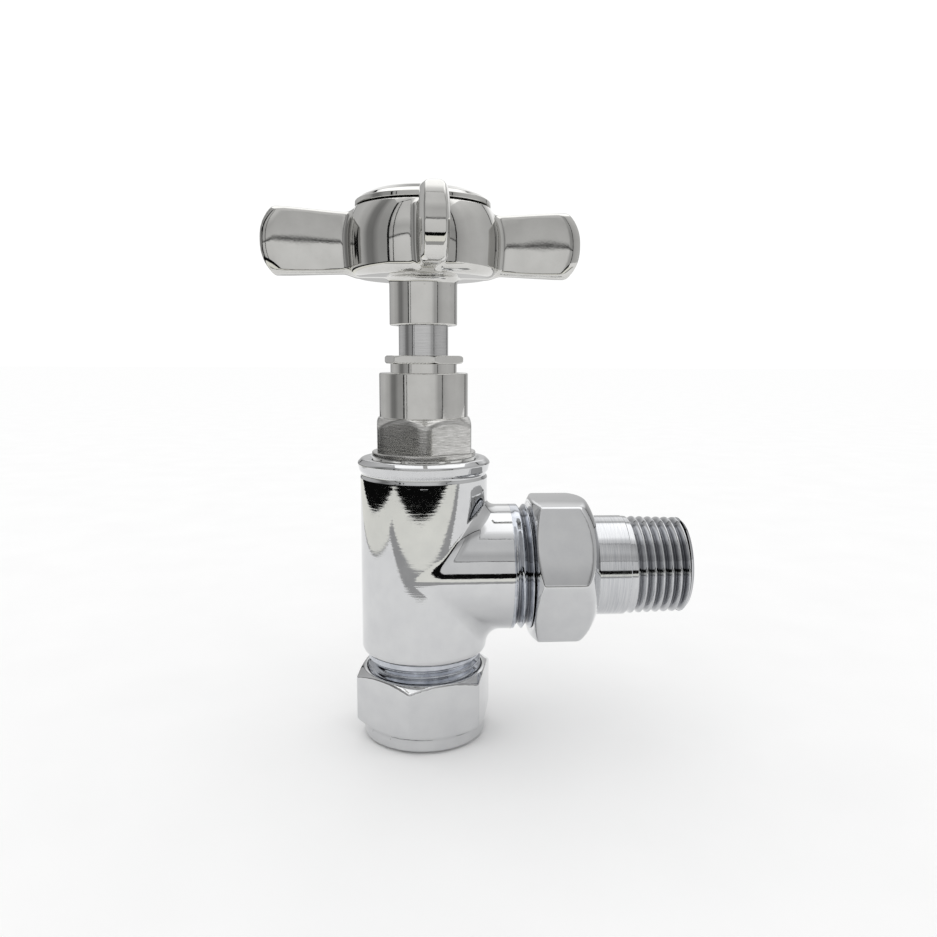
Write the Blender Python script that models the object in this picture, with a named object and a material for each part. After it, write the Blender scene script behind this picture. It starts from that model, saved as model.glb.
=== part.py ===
"""Angled manual radiator valve with a four-armed cross handle.

The pipe comes in from below, the radiator tail leaves along +X and the
spindle stands on +Z.  Z = 0 is the underside of the compression nut and the
vertical axis runs through X = Y = 0.  Lengths below are in millimetres and
are turned into metres when a mesh is made.
"""
import math

import bmesh
import bpy
from mathutils import Vector

MM = 0.001
FULL_TURN = 2.0 * math.pi
GAP = 0.3                      # working gap between neighbouring pieces
THREAD_DEPTH_RATIO = 0.6       # thread depth over pitch
CREST_FLAT_RATIO = 0.14        # flat left on a crest over pitch
CUT_MARGIN = 0.1               # how far a thread cutter stands off the blank
OVERCUT = 2.0                  # how far a bore cutter runs past a face
SHARP_ANGLE = math.radians(32)

BIG_SEGMENTS = 30
SMALL_SEGMENTS = 24
TINY_SEGMENTS = 18
RING_SEGMENTS = 18
ORING_SECTION_SEGMENTS = 6
HEX_SIDES = 6

# Compression end, for a 15 mm pipe.
PIPE_RADIUS = 7.5
PIPE_FIT = 0.1
INLET_THREAD_RADIUS = 12.0
INLET_PITCH = 1.5
NUT_HEIGHT = 14.2
NUT_FLATS = 26.4
NUT_COLLAR_WALL = 1.05
NUT_COLLAR_HEIGHT = 2.7
NUT_FLOOR = 2.2
NUT_CHAMFER = 0.9
NUT_TURN_DEG = 17.5
NUT_RELIEF_TOP = 5.2
INLET_MOUTH_Z = 5.0
INLET_CONE_WIDTH = 2.3
INLET_CONE_LENGTH = 4.4
NECK_SHOWING = 3.5
OLIVE_LENGTH = 4.9
OLIVE_WALL = 1.2
OLIVE_END_WALL = 0.65
OLIVE_CREST = (0.35, 0.6)       # shares of its length between which it is thickest

# Tee: an upright barrel and a branch of the same diameter.
TEE_RADIUS = 13.23
BARREL_HEIGHT = 41.3
BARREL_FOOT_ROUND = 1.8
BARREL_FOOT_ARC = ((0.55, 0.0), (0.18, 0.4))    # shares of the round: in from the wall, up
BEAD_PROUD = 0.55
BEAD_HEIGHT = 2.6
BEAD_ROUND = 0.7
BEAD_GROOVE_DEPTH = 0.25
BEAD_GROOVE_HEIGHT = 0.9
OUTLET_ABOVE_FOOT = 17.7
PIPE_STOP_BELOW_FOOT = 0.7
INLET_WAY_RADIUS = 6.3
SEAT_BELOW_OUTLET = 8.1
SEAT_LIP_HEIGHT = 1.0
SEAT_LIP_WIDTH = 1.2
CHAMBER_WALL = 3.43
CHAMBER_ABOVE_OUTLET = 12.4
BONNET_SOCKET_WALL = 2.33

# Outlet, G3/4 outside thread.
OUTLET_PITCH = 1.814
OUTLET_THREAD_START = 18.1
OUTLET_MOUTH_X = 31.0
OUTLET_WAY_RADIUS = 8.3
TAIL_SOCKET_RADIUS = 9.9
TAIL_SOCKET_DEPTH = 5.0

# Union nut.
UNION_NUT_X = 22.2
UNION_NUT_LENGTH = 13.3
UNION_FLATS = 29.3
UNION_NUT_TURN_DEG = 0.5
UNION_LEFT_CHAMFER = 0.5
UNION_CROWN_LENGTH = 4.4
UNION_CROWN_END_RADIUS = 11.6
UNION_CROWN_ARC = ((0.12, 0.25), (0.33, 0.5), (0.62, 0.75))    # shares of its drop and length
UNION_END_WALL = 1.6

# Radiator tail, 1/2 inch taper thread.
TAIL_RADIUS = 10.59
TAIL_FLANGE_RADIUS = 11.7
TAIL_FLANGE_LENGTH = 2.3
TAIL_SPIGOT_RADIUS = 9.5
TAIL_THREAD_START = 42.1
TAIL_END_X = 55.4
TAIL_PITCH = 1.814
TAIL_THREAD_RADIUS = 10.48
TAPER = 1.0 / 32.0
TAIL_WAY_RADIUS = 7.2
TAIL_KEY_FLATS = 12.8
TAIL_KEY_DEPTH = 12.0
TAIL_END_CHAMFER = 0.8
TAIL_ORING_SECTION = 0.75
TAIL_ORING_FROM_MOUTH = 2.4

# Bonnet (head works body).
BONNET_BAR_RADIUS = 10.75
BONNET_FLATS = 19.3
BONNET_TURN_DEG = 1.8            # from the corner that faces -Y
BONNET_HEX_HEIGHT = 8.1
BONNET_SHOULDER = 0.7
HOUSING_RADIUS = 9.12
HOUSING_HEIGHT = 9.0
HOUSING_CHAMFER = 0.3
BONNET_SKIRT_SHORT = 0.5
BONNET_ORING_SECTION = 0.75
BONNET_ORING_DEPTH = 3.2
PACKING_CHAMBER_RADIUS = 7.1
PACKING_CHAMBER_DEPTH = 7.9
BONNET_NECK_LENGTH = 3.0
BONNET_RELIEF_LENGTH = 6.0
BONNET_RELIEF_RADIUS = 6.6

# Gland.
GLAND_FLATS = 14.5
GLAND_TURN_DEG = 15.0
GLAND_HEX_HEIGHT = 1.7
GLAND_ROUND_SHOWING = 1.8
GLAND_SKIRT = 2.3
GLAND_CHAMFER = 0.2
GLAND_WASHER_THICKNESS = 0.8
PACKING_THICKNESS = 1.8

# Spindle and jumper.
STEM_RADIUS = 5.06
DRIVE_THREAD_RADIUS = 6.0
DRIVE_PITCH = 1.5
DRIVE_LENGTH = 11.2
LIFT = 4.5
STEM_SHOWING = 6.0
SPINDLE_FOOT_RADIUS = 4.8
SPINDLE_FOOT_ABOVE_PLUG = 0.5
STEM_INSIDE_BOSS = 0.8
SPLINE_RADIUS = 4.2
SPLINE_DEPTH = 0.6
SPLINE_FIT = 0.4
PLUG_RADIUS = 8.3
PLUG_THICKNESS = 2.5
PLUG_PIN_RADIUS = 2.6
PLUG_PIN_LENGTH = 9.0
PLUG_STUD_RADIUS = 1.9
WASHER_RADIUS = 7.9
WASHER_THICKNESS = 2.5
WASHER_NUT_FLATS = 6.4
WASHER_NUT_HEIGHT = 1.8

# Cross handle.
BOSS_RADIUS = 6.89
BOSS_HEIGHT = 9.4
BOSS_FILLET = 1.5
BOSS_FILLET_MIDDLE = (0.3, 0.35)    # shares of it: out from the boss, down from the hub
HUB_HEIGHT = 13.5
HUB_BULGE = ((12.3, 0.0), (13.9, 0.7), (14.8, 2.3), (15.2, 5.0), (15.2, 7.6), (14.7, 10.6), (13.6, 13.5))
HUB_FLOOR_ABOVE_UNDERSIDE = 5.5
HUB_POCKET_RADIUS = 9.0
ARM_REACH = 32.0
ARM_ROOT = 10.6
ARM_TURN_DEG = 3.5
ARM_COUNT = 4
ARM_TIP_SAG = 2.6
ARM_EDGE_SOFTENING = 0.5
ARM_TIP_SWELL = 0.03
ARM_TIP_EASE = 0.05
ARM_STATIONS = (           # share of the reach, half thickness, low edge, high edge
    (0.33, 2.40, 0.75, 12.45),
    (0.47, 2.15, 0.60, 12.60),
    (0.66, 2.10, 0.45, 12.80),
    (0.82, 2.40, 0.30, 13.15),
    (0.89, 2.60, 0.20, 13.35),
)
ARM_SECTION = (            # share of the height, share of the half thickness
    (0.0, 0.5), (0.04, 0.88), (0.12, 1.0), (0.30, 0.95), (0.5, 0.92),
    (0.70, 0.95), (0.88, 1.0), (0.96, 0.88), (1.0, 0.5),
)
CAP_EDGE = 0.9
CAP_DOME = ((13.55, 0.9), (12.7, 1.7), (10.8, 2.65), (7.8, 3.5), (4.0, 4.05))
CAP_RISE = 4.2
CAP_PLUG_LENGTH = 4.6
CAP_PLUG_WALL = 2.6
CAP_CEILING = 0.2

# Screw that holds the handle on the spindle.
SCREW_RADIUS = 2.1
SCREW_HOLE_RADIUS = 2.45
SCREW_LENGTH = 12.0
SCREW_HEAD_RADIUS = 4.4
SCREW_HEAD_HEIGHT = 2.6
SCREW_KEY_FLATS = 3.6
SCREW_KEY_DEPTH = 1.6
LOCK_WASHER_RADIUS = 5.0
LOCK_WASHER_THICKNESS = 0.9

# Levels that follow from the sizes above.
FOOT_Z = NUT_HEIGHT + NECK_SHOWING
BARREL_TOP_Z = FOOT_Z + BARREL_HEIGHT
OUTLET_Z = FOOT_Z + OUTLET_ABOVE_FOOT
SEAT_Z = OUTLET_Z - SEAT_BELOW_OUTLET
CHAMBER_FLOOR_Z = SEAT_Z - SEAT_LIP_HEIGHT
CHAMBER_TOP_Z = OUTLET_Z + CHAMBER_ABOVE_OUTLET
CHAMBER_RADIUS = TEE_RADIUS - CHAMBER_WALL
BONNET_SOCKET_RADIUS = TEE_RADIUS - BONNET_SOCKET_WALL
BONNET_Z = BARREL_TOP_Z + GAP
HOUSING_Z = BONNET_Z + BONNET_HEX_HEIGHT
HOUSING_TOP_Z = HOUSING_Z + HOUSING_HEIGHT
PACKING_FLOOR_Z = HOUSING_TOP_Z - PACKING_CHAMBER_DEPTH
NECK_FLOOR_Z = PACKING_FLOOR_Z - BONNET_NECK_LENGTH
RELIEF_FLOOR_Z = NECK_FLOOR_Z - BONNET_RELIEF_LENGTH
BONNET_FOOT_Z = CHAMBER_TOP_Z + BONNET_SKIRT_SHORT
GLAND_HEX_Z = HOUSING_TOP_Z + GLAND_ROUND_SHOWING
GLAND_TOP_Z = GLAND_HEX_Z + GLAND_HEX_HEIGHT
BOSS_Z = GLAND_TOP_Z + STEM_SHOWING
HUB_Z = BOSS_Z + BOSS_HEIGHT
HUB_TOP_Z = HUB_Z + HUB_HEIGHT
HUB_FLOOR_Z = HUB_Z + HUB_FLOOR_ABOVE_UNDERSIDE
CAP_Z = HUB_TOP_Z + GAP
STEM_TOP_Z = BOSS_Z + STEM_INSIDE_BOSS
SPINDLE_TOP_Z = HUB_FLOOR_Z - GAP
WASHER_Z = SEAT_Z + GAP + LIFT
PLUG_Z = WASHER_Z + WASHER_THICKNESS + GAP
PLUG_TOP_Z = PLUG_Z + PLUG_THICKNESS
SPINDLE_FOOT_Z = PLUG_TOP_Z + SPINDLE_FOOT_ABOVE_PLUG
DRIVE_TOP_Z = RELIEF_FLOOR_Z + DRIVE_PITCH
DRIVE_FOOT_Z = DRIVE_TOP_Z - DRIVE_LENGTH
STEM_HOLE_RADIUS = STEM_RADIUS + GAP
LOCK_WASHER_Z = HUB_FLOOR_Z + GAP
SCREW_HEAD_Z = LOCK_WASHER_Z + LOCK_WASHER_THICKNESS + GAP
SOCKET_RADIUS = PIPE_RADIUS + PIPE_FIT
TAIL_FLANGE_X = OUTLET_MOUTH_X + GAP
TAIL_FLANGE_END_X = TAIL_FLANGE_X + TAIL_FLANGE_LENGTH
TAIL_FOOT_X = OUTLET_MOUTH_X - TAIL_SOCKET_DEPTH + GAP
UNION_END_X = UNION_NUT_X + UNION_NUT_LENGTH
UNION_WALL_X = UNION_END_X - UNION_END_WALL

UP = "Z"
OUT = "X"
HALF_STEP = FULL_TURN / BIG_SEGMENTS / 2.0    # keeps branch edges off the barrel's edges


def place(axis, radius, angle, height):
    """World point in millimetres of a turned surface about one of the two axes."""
    a = radius * math.cos(angle)
    b = radius * math.sin(angle)
    if axis == UP:
        return Vector((a, b, height))
    return Vector((height, a, OUTLET_Z + b))


def limited(radius, angle, flats, turn):
    """Radius cut back to a hexagon with the given distance across flats."""
    if not flats:
        return radius
    sector = FULL_TURN / HEX_SIDES
    off = (angle - turn + sector / 2.0) % sector - sector / 2.0
    return min(radius, flats / 2.0 / math.cos(off))


def add_object(name, verts, faces, pivot, material=None, cutter=False):
    """Closed mesh object whose origin is the pivot, in metres."""
    pivot = Vector(pivot)
    mesh = bpy.data.meshes.new(name)
    mesh.from_pydata([(v - pivot) * MM for v in verts], [], faces)
    bm = bmesh.new()
    bm.from_mesh(mesh)
    bmesh.ops.recalc_face_normals(bm, faces=bm.faces)
    bm.to_mesh(mesh)
    bm.free()
    mesh.shade_smooth()
    mesh.set_sharp_from_angle(angle=SHARP_ANGLE)
    obj = bpy.data.objects.new(name, mesh)
    obj.location = pivot * MM
    bpy.context.scene.collection.objects.link(obj)
    if material:
        mesh.materials.append(material)
    if cutter:
        obj.hide_render = True
        obj.display_type = "WIRE"
    return obj


def turned(name, profile, axis=UP, segments=BIG_SEGMENTS, turn=0.0, **kwargs):
    """Solid of revolution from a profile of (radius, height[, flats]).

    A profile that starts and ends on the axis closes with two poles, any
    other profile is a closed loop.  A negative third value asks for a splined
    ring: every other point is drawn in by that much.
    """
    verts = []
    rings = []
    for point in profile:
        radius, height = point[0], point[1]
        flats = point[2] if len(point) > 2 else 0.0
        if radius == 0.0:
            rings.append([len(verts)] * segments)
            verts.append(place(axis, 0.0, 0.0, height))
            continue
        ring = []
        for i in range(segments):
            angle = turn + FULL_TURN * i / segments
            r = radius
            if flats > 0.0:
                r = limited(radius, angle, flats, turn)
            elif flats < 0.0 and i % 2:
                r = radius + flats
            ring.append(len(verts))
            verts.append(place(axis, r, angle, height))
        rings.append(ring)
    pairs = list(zip(rings, rings[1:]))
    if profile[0][0] != 0.0:
        pairs.append((rings[-1], rings[0]))
    faces = []
    for low, high in pairs:
        for i in range(segments):
            j = (i + 1) % segments
            corner = [low[i], low[j], high[j], high[i]]
            face = [v for k, v in enumerate(corner) if v not in corner[:k]]
            if len(face) > 2:
                faces.append(face)
    return add_object(name, verts, faces, kwargs.pop("pivot", (0.0, 0.0, 0.0)), **kwargs)


def screw_groove(name, start, end, crest, pitch, outside, axis=UP, segments=BIG_SEGMENTS,
                 taper=0.0, phase=0.0, turn=0.0):
    """Right-hand V groove cutter between two stations along an axis.

    outside cuts into a shaft from its crest radius; otherwise the groove is
    cut outwards into a bore whose crests stand at the crest radius.
    """
    depth = THREAD_DEPTH_RATIO * pitch
    half_open = (pitch * (1.0 - CREST_FLAT_RATIO)) / 2.0
    half_open *= (depth + CUT_MARGIN) / depth
    half_open = min(half_open, pitch * 0.49)
    side = -1.0 if outside else 1.0
    steps = round((end - start) / pitch * segments)
    first = round((start / pitch + phase - turn / FULL_TURN) * segments)
    verts = []
    for k in range(steps + 1):
        index = first + k
        angle = turn + FULL_TURN * index / segments
        centre = (angle / FULL_TURN - phase) * pitch
        radius = crest - taper * (centre - start)
        open_radius = radius - side * CUT_MARGIN
        verts.append(place(axis, open_radius, angle, centre - half_open))
        verts.append(place(axis, open_radius, angle, centre + half_open))
        verts.append(place(axis, radius + side * depth, angle, centre))
    faces = [(0, 1, 2), tuple(3 * steps + i for i in range(3))]
    for k in range(steps):
        a = 3 * k
        for i in range(3):
            j = (i + 1) % 3
            faces.append((a + i, a + j, a + 3 + j, a + 3 + i))
    return add_object(name, verts, faces, (0.0, 0.0, 0.0), cutter=True)


def combine(obj, tool, operation):
    """Exact Boolean of an object with a hidden tool."""
    modifier = obj.modifiers.new(tool.name, "BOOLEAN")
    modifier.operation = operation
    modifier.solver = "EXACT"
    modifier.object = tool
    return obj


def torus(name, radius, section, station, axis, material, pivot):
    """Rubber sealing ring round one of the two axes."""
    profile = []
    for i in range(ORING_SECTION_SEGMENTS):
        angle = FULL_TURN * (i + 0.5) / ORING_SECTION_SEGMENTS
        profile.append((radius + section * math.cos(angle), station + section * math.sin(angle)))
    return turned(name, profile, axis, RING_SEGMENTS, material=material, pivot=pivot)


def make_material(name, color, metallic, roughness):
    """Plain surface for one kind of stuff."""
    material = bpy.data.materials.new(name)
    material.use_nodes = True
    shader = material.node_tree.nodes["Principled BSDF"]
    shader.inputs["Base Color"].default_value = (*color, 1.0)
    shader.inputs["Metallic"].default_value = metallic
    shader.inputs["Roughness"].default_value = roughness
    return material


def joint_empty(name, station, parent=None):
    """Empty on a joint's axis that carries the pieces it moves."""
    empty = bpy.data.objects.new(name, None)
    bpy.context.scene.collection.objects.link(empty)
    empty.empty_display_size = NUT_HEIGHT * MM
    empty.location = Vector(station) * MM
    if parent:
        attach(parent, empty)
    return empty


def attach(parent, *children):
    """Parent objects without moving them."""
    bpy.context.view_layer.update()
    for child in children:
        child.parent = parent
        child.matrix_parent_inverse = parent.matrix_world.inverted()


CHROME = (0.78, 0.79, 0.81)
BRASS = (0.78, 0.60, 0.30)
RUBBER = (0.02, 0.02, 0.02)
FIBRE = (0.82, 0.80, 0.74)
STEEL = (0.62, 0.63, 0.65)


def chrome(name, roughness=0.06):
    return make_material(name, CHROME, 1.0, roughness)


def brass(name):
    return make_material(name, BRASS, 1.0, 0.28)


def rubber(name):
    return make_material(name, RUBBER, 0.0, 0.6)


def fibre(name):
    return make_material(name, FIBRE, 0.0, 0.55)


def steel(name):
    return make_material(name, STEEL, 1.0, 0.3)


def build_body():
    """Tee casting with both threaded ends, the seat and all its waterways."""
    step = BEAD_GROOVE_HEIGHT / 2.0
    bead_low = BARREL_TOP_Z - BEAD_HEIGHT
    foot = BARREL_FOOT_ROUND
    barrel = [
        (0.0, INLET_MOUTH_Z),
        (INLET_THREAD_RADIUS, INLET_MOUTH_Z),
        (INLET_THREAD_RADIUS, FOOT_Z),
        *((TEE_RADIUS - foot * inward, FOOT_Z + foot * rise) for inward, rise in BARREL_FOOT_ARC),
        (TEE_RADIUS, FOOT_Z + foot),
        (TEE_RADIUS, bead_low - BEAD_GROOVE_HEIGHT),
        (TEE_RADIUS - BEAD_GROOVE_DEPTH, bead_low - step),
        (TEE_RADIUS, bead_low),
        (TEE_RADIUS + BEAD_PROUD, bead_low + BEAD_ROUND),
        (TEE_RADIUS + BEAD_PROUD, BARREL_TOP_Z - BEAD_ROUND),
        (TEE_RADIUS, BARREL_TOP_Z),
        (0.0, BARREL_TOP_Z),
    ]
    body = turned("valve_body", barrel, material=chrome("valve_body"))
    branch = turned("branch_blank", [(0.0, 0.0), (TEE_RADIUS, 0.0),
                                     (TEE_RADIUS, OUTLET_MOUTH_X - NUT_CHAMFER),
                                     (TEE_RADIUS - NUT_CHAMFER, OUTLET_MOUTH_X),
                                     (0.0, OUTLET_MOUTH_X)], OUT, turn=HALF_STEP, cutter=True)
    core = turned("upright_core", [
        (0.0, INLET_MOUTH_Z - OVERCUT),
        (SOCKET_RADIUS + INLET_CONE_WIDTH, INLET_MOUTH_Z - OVERCUT),
        (SOCKET_RADIUS + INLET_CONE_WIDTH, INLET_MOUTH_Z),
        (SOCKET_RADIUS, INLET_MOUTH_Z + INLET_CONE_LENGTH),
        (SOCKET_RADIUS, FOOT_Z - PIPE_STOP_BELOW_FOOT),
        (INLET_WAY_RADIUS, FOOT_Z - PIPE_STOP_BELOW_FOOT),
        (INLET_WAY_RADIUS, SEAT_Z),
        (INLET_WAY_RADIUS + SEAT_LIP_WIDTH, SEAT_Z),
        (INLET_WAY_RADIUS + SEAT_LIP_WIDTH, CHAMBER_FLOOR_Z),
        (CHAMBER_RADIUS, CHAMBER_FLOOR_Z),
        (CHAMBER_RADIUS, CHAMBER_TOP_Z),
        (BONNET_SOCKET_RADIUS, CHAMBER_TOP_Z),
        (BONNET_SOCKET_RADIUS, BARREL_TOP_Z + OVERCUT),
        (0.0, BARREL_TOP_Z + OVERCUT),
    ], segments=SMALL_SEGMENTS, cutter=True)
    socket_x = OUTLET_MOUTH_X - TAIL_SOCKET_DEPTH
    outlet = turned("outlet_core", [
        (0.0, 0.0), (OUTLET_WAY_RADIUS, 0.0), (OUTLET_WAY_RADIUS, socket_x),
        (TAIL_SOCKET_RADIUS, socket_x), (TAIL_SOCKET_RADIUS, OUTLET_MOUTH_X + OVERCUT),
        (0.0, OUTLET_MOUTH_X + OVERCUT)], OUT, SMALL_SEGMENTS, cutter=True)
    inlet_thread = screw_groove("inlet_groove", INLET_MOUTH_Z - INLET_PITCH,
                                FOOT_Z - INLET_PITCH / 2.0, INLET_THREAD_RADIUS,
                                INLET_PITCH, True)
    outlet_thread = screw_groove("outlet_groove", OUTLET_THREAD_START + OUTLET_PITCH / 2.0,
                                 OUTLET_MOUTH_X + OUTLET_PITCH, TEE_RADIUS, OUTLET_PITCH,
                                 True, OUT, turn=HALF_STEP)
    combine(body, branch, "UNION")
    combine(body, core, "DIFFERENCE")
    combine(body, outlet, "DIFFERENCE")
    combine(body, inlet_thread, "DIFFERENCE")
    combine(body, outlet_thread, "DIFFERENCE")
    return body


def build_compression_end():
    """Nut that squeezes the olive round the pipe, and the olive."""
    depth = THREAD_DEPTH_RATIO * INLET_PITCH
    crest = INLET_THREAD_RADIUS - depth + GAP
    root = INLET_THREAD_RADIUS + GAP
    corner = NUT_FLATS / math.sqrt(3.0)
    collar = NUT_COLLAR_WALL + INLET_THREAD_RADIUS
    nut = turned("compression_nut", [
        (SOCKET_RADIUS + PIPE_FIT, 0.0),
        (collar, 0.0),
        (collar, NUT_COLLAR_HEIGHT),
        (corner - NUT_CHAMFER, NUT_COLLAR_HEIGHT, NUT_FLATS),
        (corner, NUT_COLLAR_HEIGHT + NUT_CHAMFER, NUT_FLATS),
        (corner, NUT_HEIGHT - NUT_CHAMFER, NUT_FLATS),
        (corner - NUT_CHAMFER, NUT_HEIGHT - NUT_CHAMFER / 2.0, NUT_FLATS),
        (NUT_FLATS / 2.0, NUT_HEIGHT),
        (crest + depth / 2.0, NUT_HEIGHT),
        (crest, NUT_HEIGHT - depth / 2.0),
        (crest, NUT_RELIEF_TOP),
        (root, NUT_RELIEF_TOP - depth / 2.0),
        (root, NUT_RELIEF_TOP - depth),
        (SOCKET_RADIUS + INLET_CONE_WIDTH, NUT_FLOOR),
        (SOCKET_RADIUS + PIPE_FIT, NUT_FLOOR),
    ], turn=math.radians(NUT_TURN_DEG), material=chrome("compression_nut"))
    groove = screw_groove("nut_groove", NUT_RELIEF_TOP - INLET_PITCH / 2.0,
                          NUT_HEIGHT + INLET_PITCH, crest, INLET_PITCH, False,
                          phase=0.5, turn=math.radians(NUT_TURN_DEG))
    combine(nut, groove, "DIFFERENCE")
    low = NUT_FLOOR + GAP
    inner = SOCKET_RADIUS
    olive = turned("olive", [
        (inner, low),
        (inner + OLIVE_END_WALL, low),
        *((inner + OLIVE_WALL, low + OLIVE_LENGTH * share) for share in OLIVE_CREST),
        (inner + OLIVE_END_WALL, low + OLIVE_LENGTH),
        (inner, low + OLIVE_LENGTH),
    ], segments=TINY_SEGMENTS, material=brass("olive"))
    slide = joint_empty("olive_slide", (0.0, 0.0, 0.0))
    turn = joint_empty("compression_nut_turn", (0.0, 0.0, 0.0), slide)
    attach(slide, olive)
    attach(turn, nut)


def build_union():
    """Radiator tail with its sealing ring, and the union nut that draws it in."""
    pivot = (OUTLET_MOUTH_X, 0.0, OUTLET_Z)
    groove_x = OUTLET_MOUTH_X - TAIL_ORING_FROM_MOUTH
    reach = TAIL_ORING_SECTION + GAP
    ring_radius = TAIL_SOCKET_RADIUS - GAP - TAIL_ORING_SECTION
    groove_root = ring_radius - reach
    key_corner = TAIL_KEY_FLATS / math.sqrt(3.0)
    length = TAIL_END_X - TAIL_THREAD_START
    end_radius = TAIL_THREAD_RADIUS - TAPER * length
    tail = turned("union_tail", [
        (TAIL_SPIGOT_RADIUS, TAIL_FOOT_X),
        (TAIL_SPIGOT_RADIUS, groove_x - reach),
        (groove_root, groove_x - reach),
        (groove_root, groove_x + reach),
        (TAIL_SPIGOT_RADIUS, groove_x + reach),
        (TAIL_SPIGOT_RADIUS, TAIL_FLANGE_X),
        (TAIL_FLANGE_RADIUS, TAIL_FLANGE_X),
        (TAIL_FLANGE_RADIUS, TAIL_FLANGE_END_X),
        (TAIL_RADIUS, TAIL_FLANGE_END_X),
        (TAIL_RADIUS, TAIL_THREAD_START),
        (TAIL_THREAD_RADIUS, TAIL_THREAD_START),
        (end_radius, TAIL_END_X - TAIL_END_CHAMFER),
        (end_radius - TAIL_END_CHAMFER, TAIL_END_X),
        (TAIL_WAY_RADIUS, TAIL_END_X),
        (TAIL_WAY_RADIUS, TAIL_FOOT_X + TAIL_KEY_DEPTH),
        (key_corner, TAIL_FOOT_X + TAIL_KEY_DEPTH, TAIL_KEY_FLATS),
        (key_corner, TAIL_FOOT_X, TAIL_KEY_FLATS),
    ], OUT, SMALL_SEGMENTS, material=chrome("union_tail"), pivot=pivot)
    thread = screw_groove("tail_groove", TAIL_THREAD_START + TAIL_PITCH / 2.0,
                          TAIL_END_X + TAIL_PITCH, TAIL_THREAD_RADIUS, TAIL_PITCH, True,
                          OUT, SMALL_SEGMENTS, TAPER)
    combine(tail, thread, "DIFFERENCE")
    ring = torus("tail_o_ring", ring_radius, TAIL_ORING_SECTION, groove_x, OUT,
                 rubber("tail_o_ring"), pivot)

    depth = THREAD_DEPTH_RATIO * OUTLET_PITCH
    crest = TEE_RADIUS - depth + GAP
    corner = UNION_FLATS / math.sqrt(3.0)
    crown = UNION_END_X - UNION_CROWN_LENGTH
    relief_end = OUTLET_MOUTH_X + GAP
    relief_start = OUTLET_MOUTH_X - OUTLET_PITCH
    drop = corner - UNION_CROWN_END_RADIUS
    nut = turned("union_nut", [
        (crest + depth / 2.0, UNION_NUT_X),
        (UNION_FLATS / 2.0, UNION_NUT_X),
        (corner, UNION_NUT_X + UNION_LEFT_CHAMFER, UNION_FLATS),
        (corner, crown, UNION_FLATS),
        *((corner - drop * down, crown + UNION_CROWN_LENGTH * share, UNION_FLATS)
          for down, share in UNION_CROWN_ARC),
        (UNION_CROWN_END_RADIUS, UNION_END_X),
        (TAIL_RADIUS + GAP, UNION_END_X),
        (TAIL_RADIUS + GAP, UNION_WALL_X),
        (TAIL_FLANGE_RADIUS + GAP, UNION_WALL_X),
        (TAIL_FLANGE_RADIUS + GAP, relief_end),
        (TEE_RADIUS + GAP, relief_end),
        (TEE_RADIUS + GAP, relief_start),
        (crest, relief_start - depth),
        (crest, UNION_NUT_X + depth / 2.0),
    ], OUT, turn=math.radians(UNION_NUT_TURN_DEG), material=chrome("union_nut"), pivot=pivot)
    groove = screw_groove("union_groove", UNION_NUT_X - OUTLET_PITCH,
                          relief_start, crest, OUTLET_PITCH, False,
                          OUT, phase=0.5, turn=math.radians(UNION_NUT_TURN_DEG))
    combine(nut, groove, "DIFFERENCE")
    slide = joint_empty("tail_slide", pivot)
    turn = joint_empty("union_nut_turn", pivot, slide)
    attach(slide, tail, ring)
    attach(turn, nut)


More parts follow.
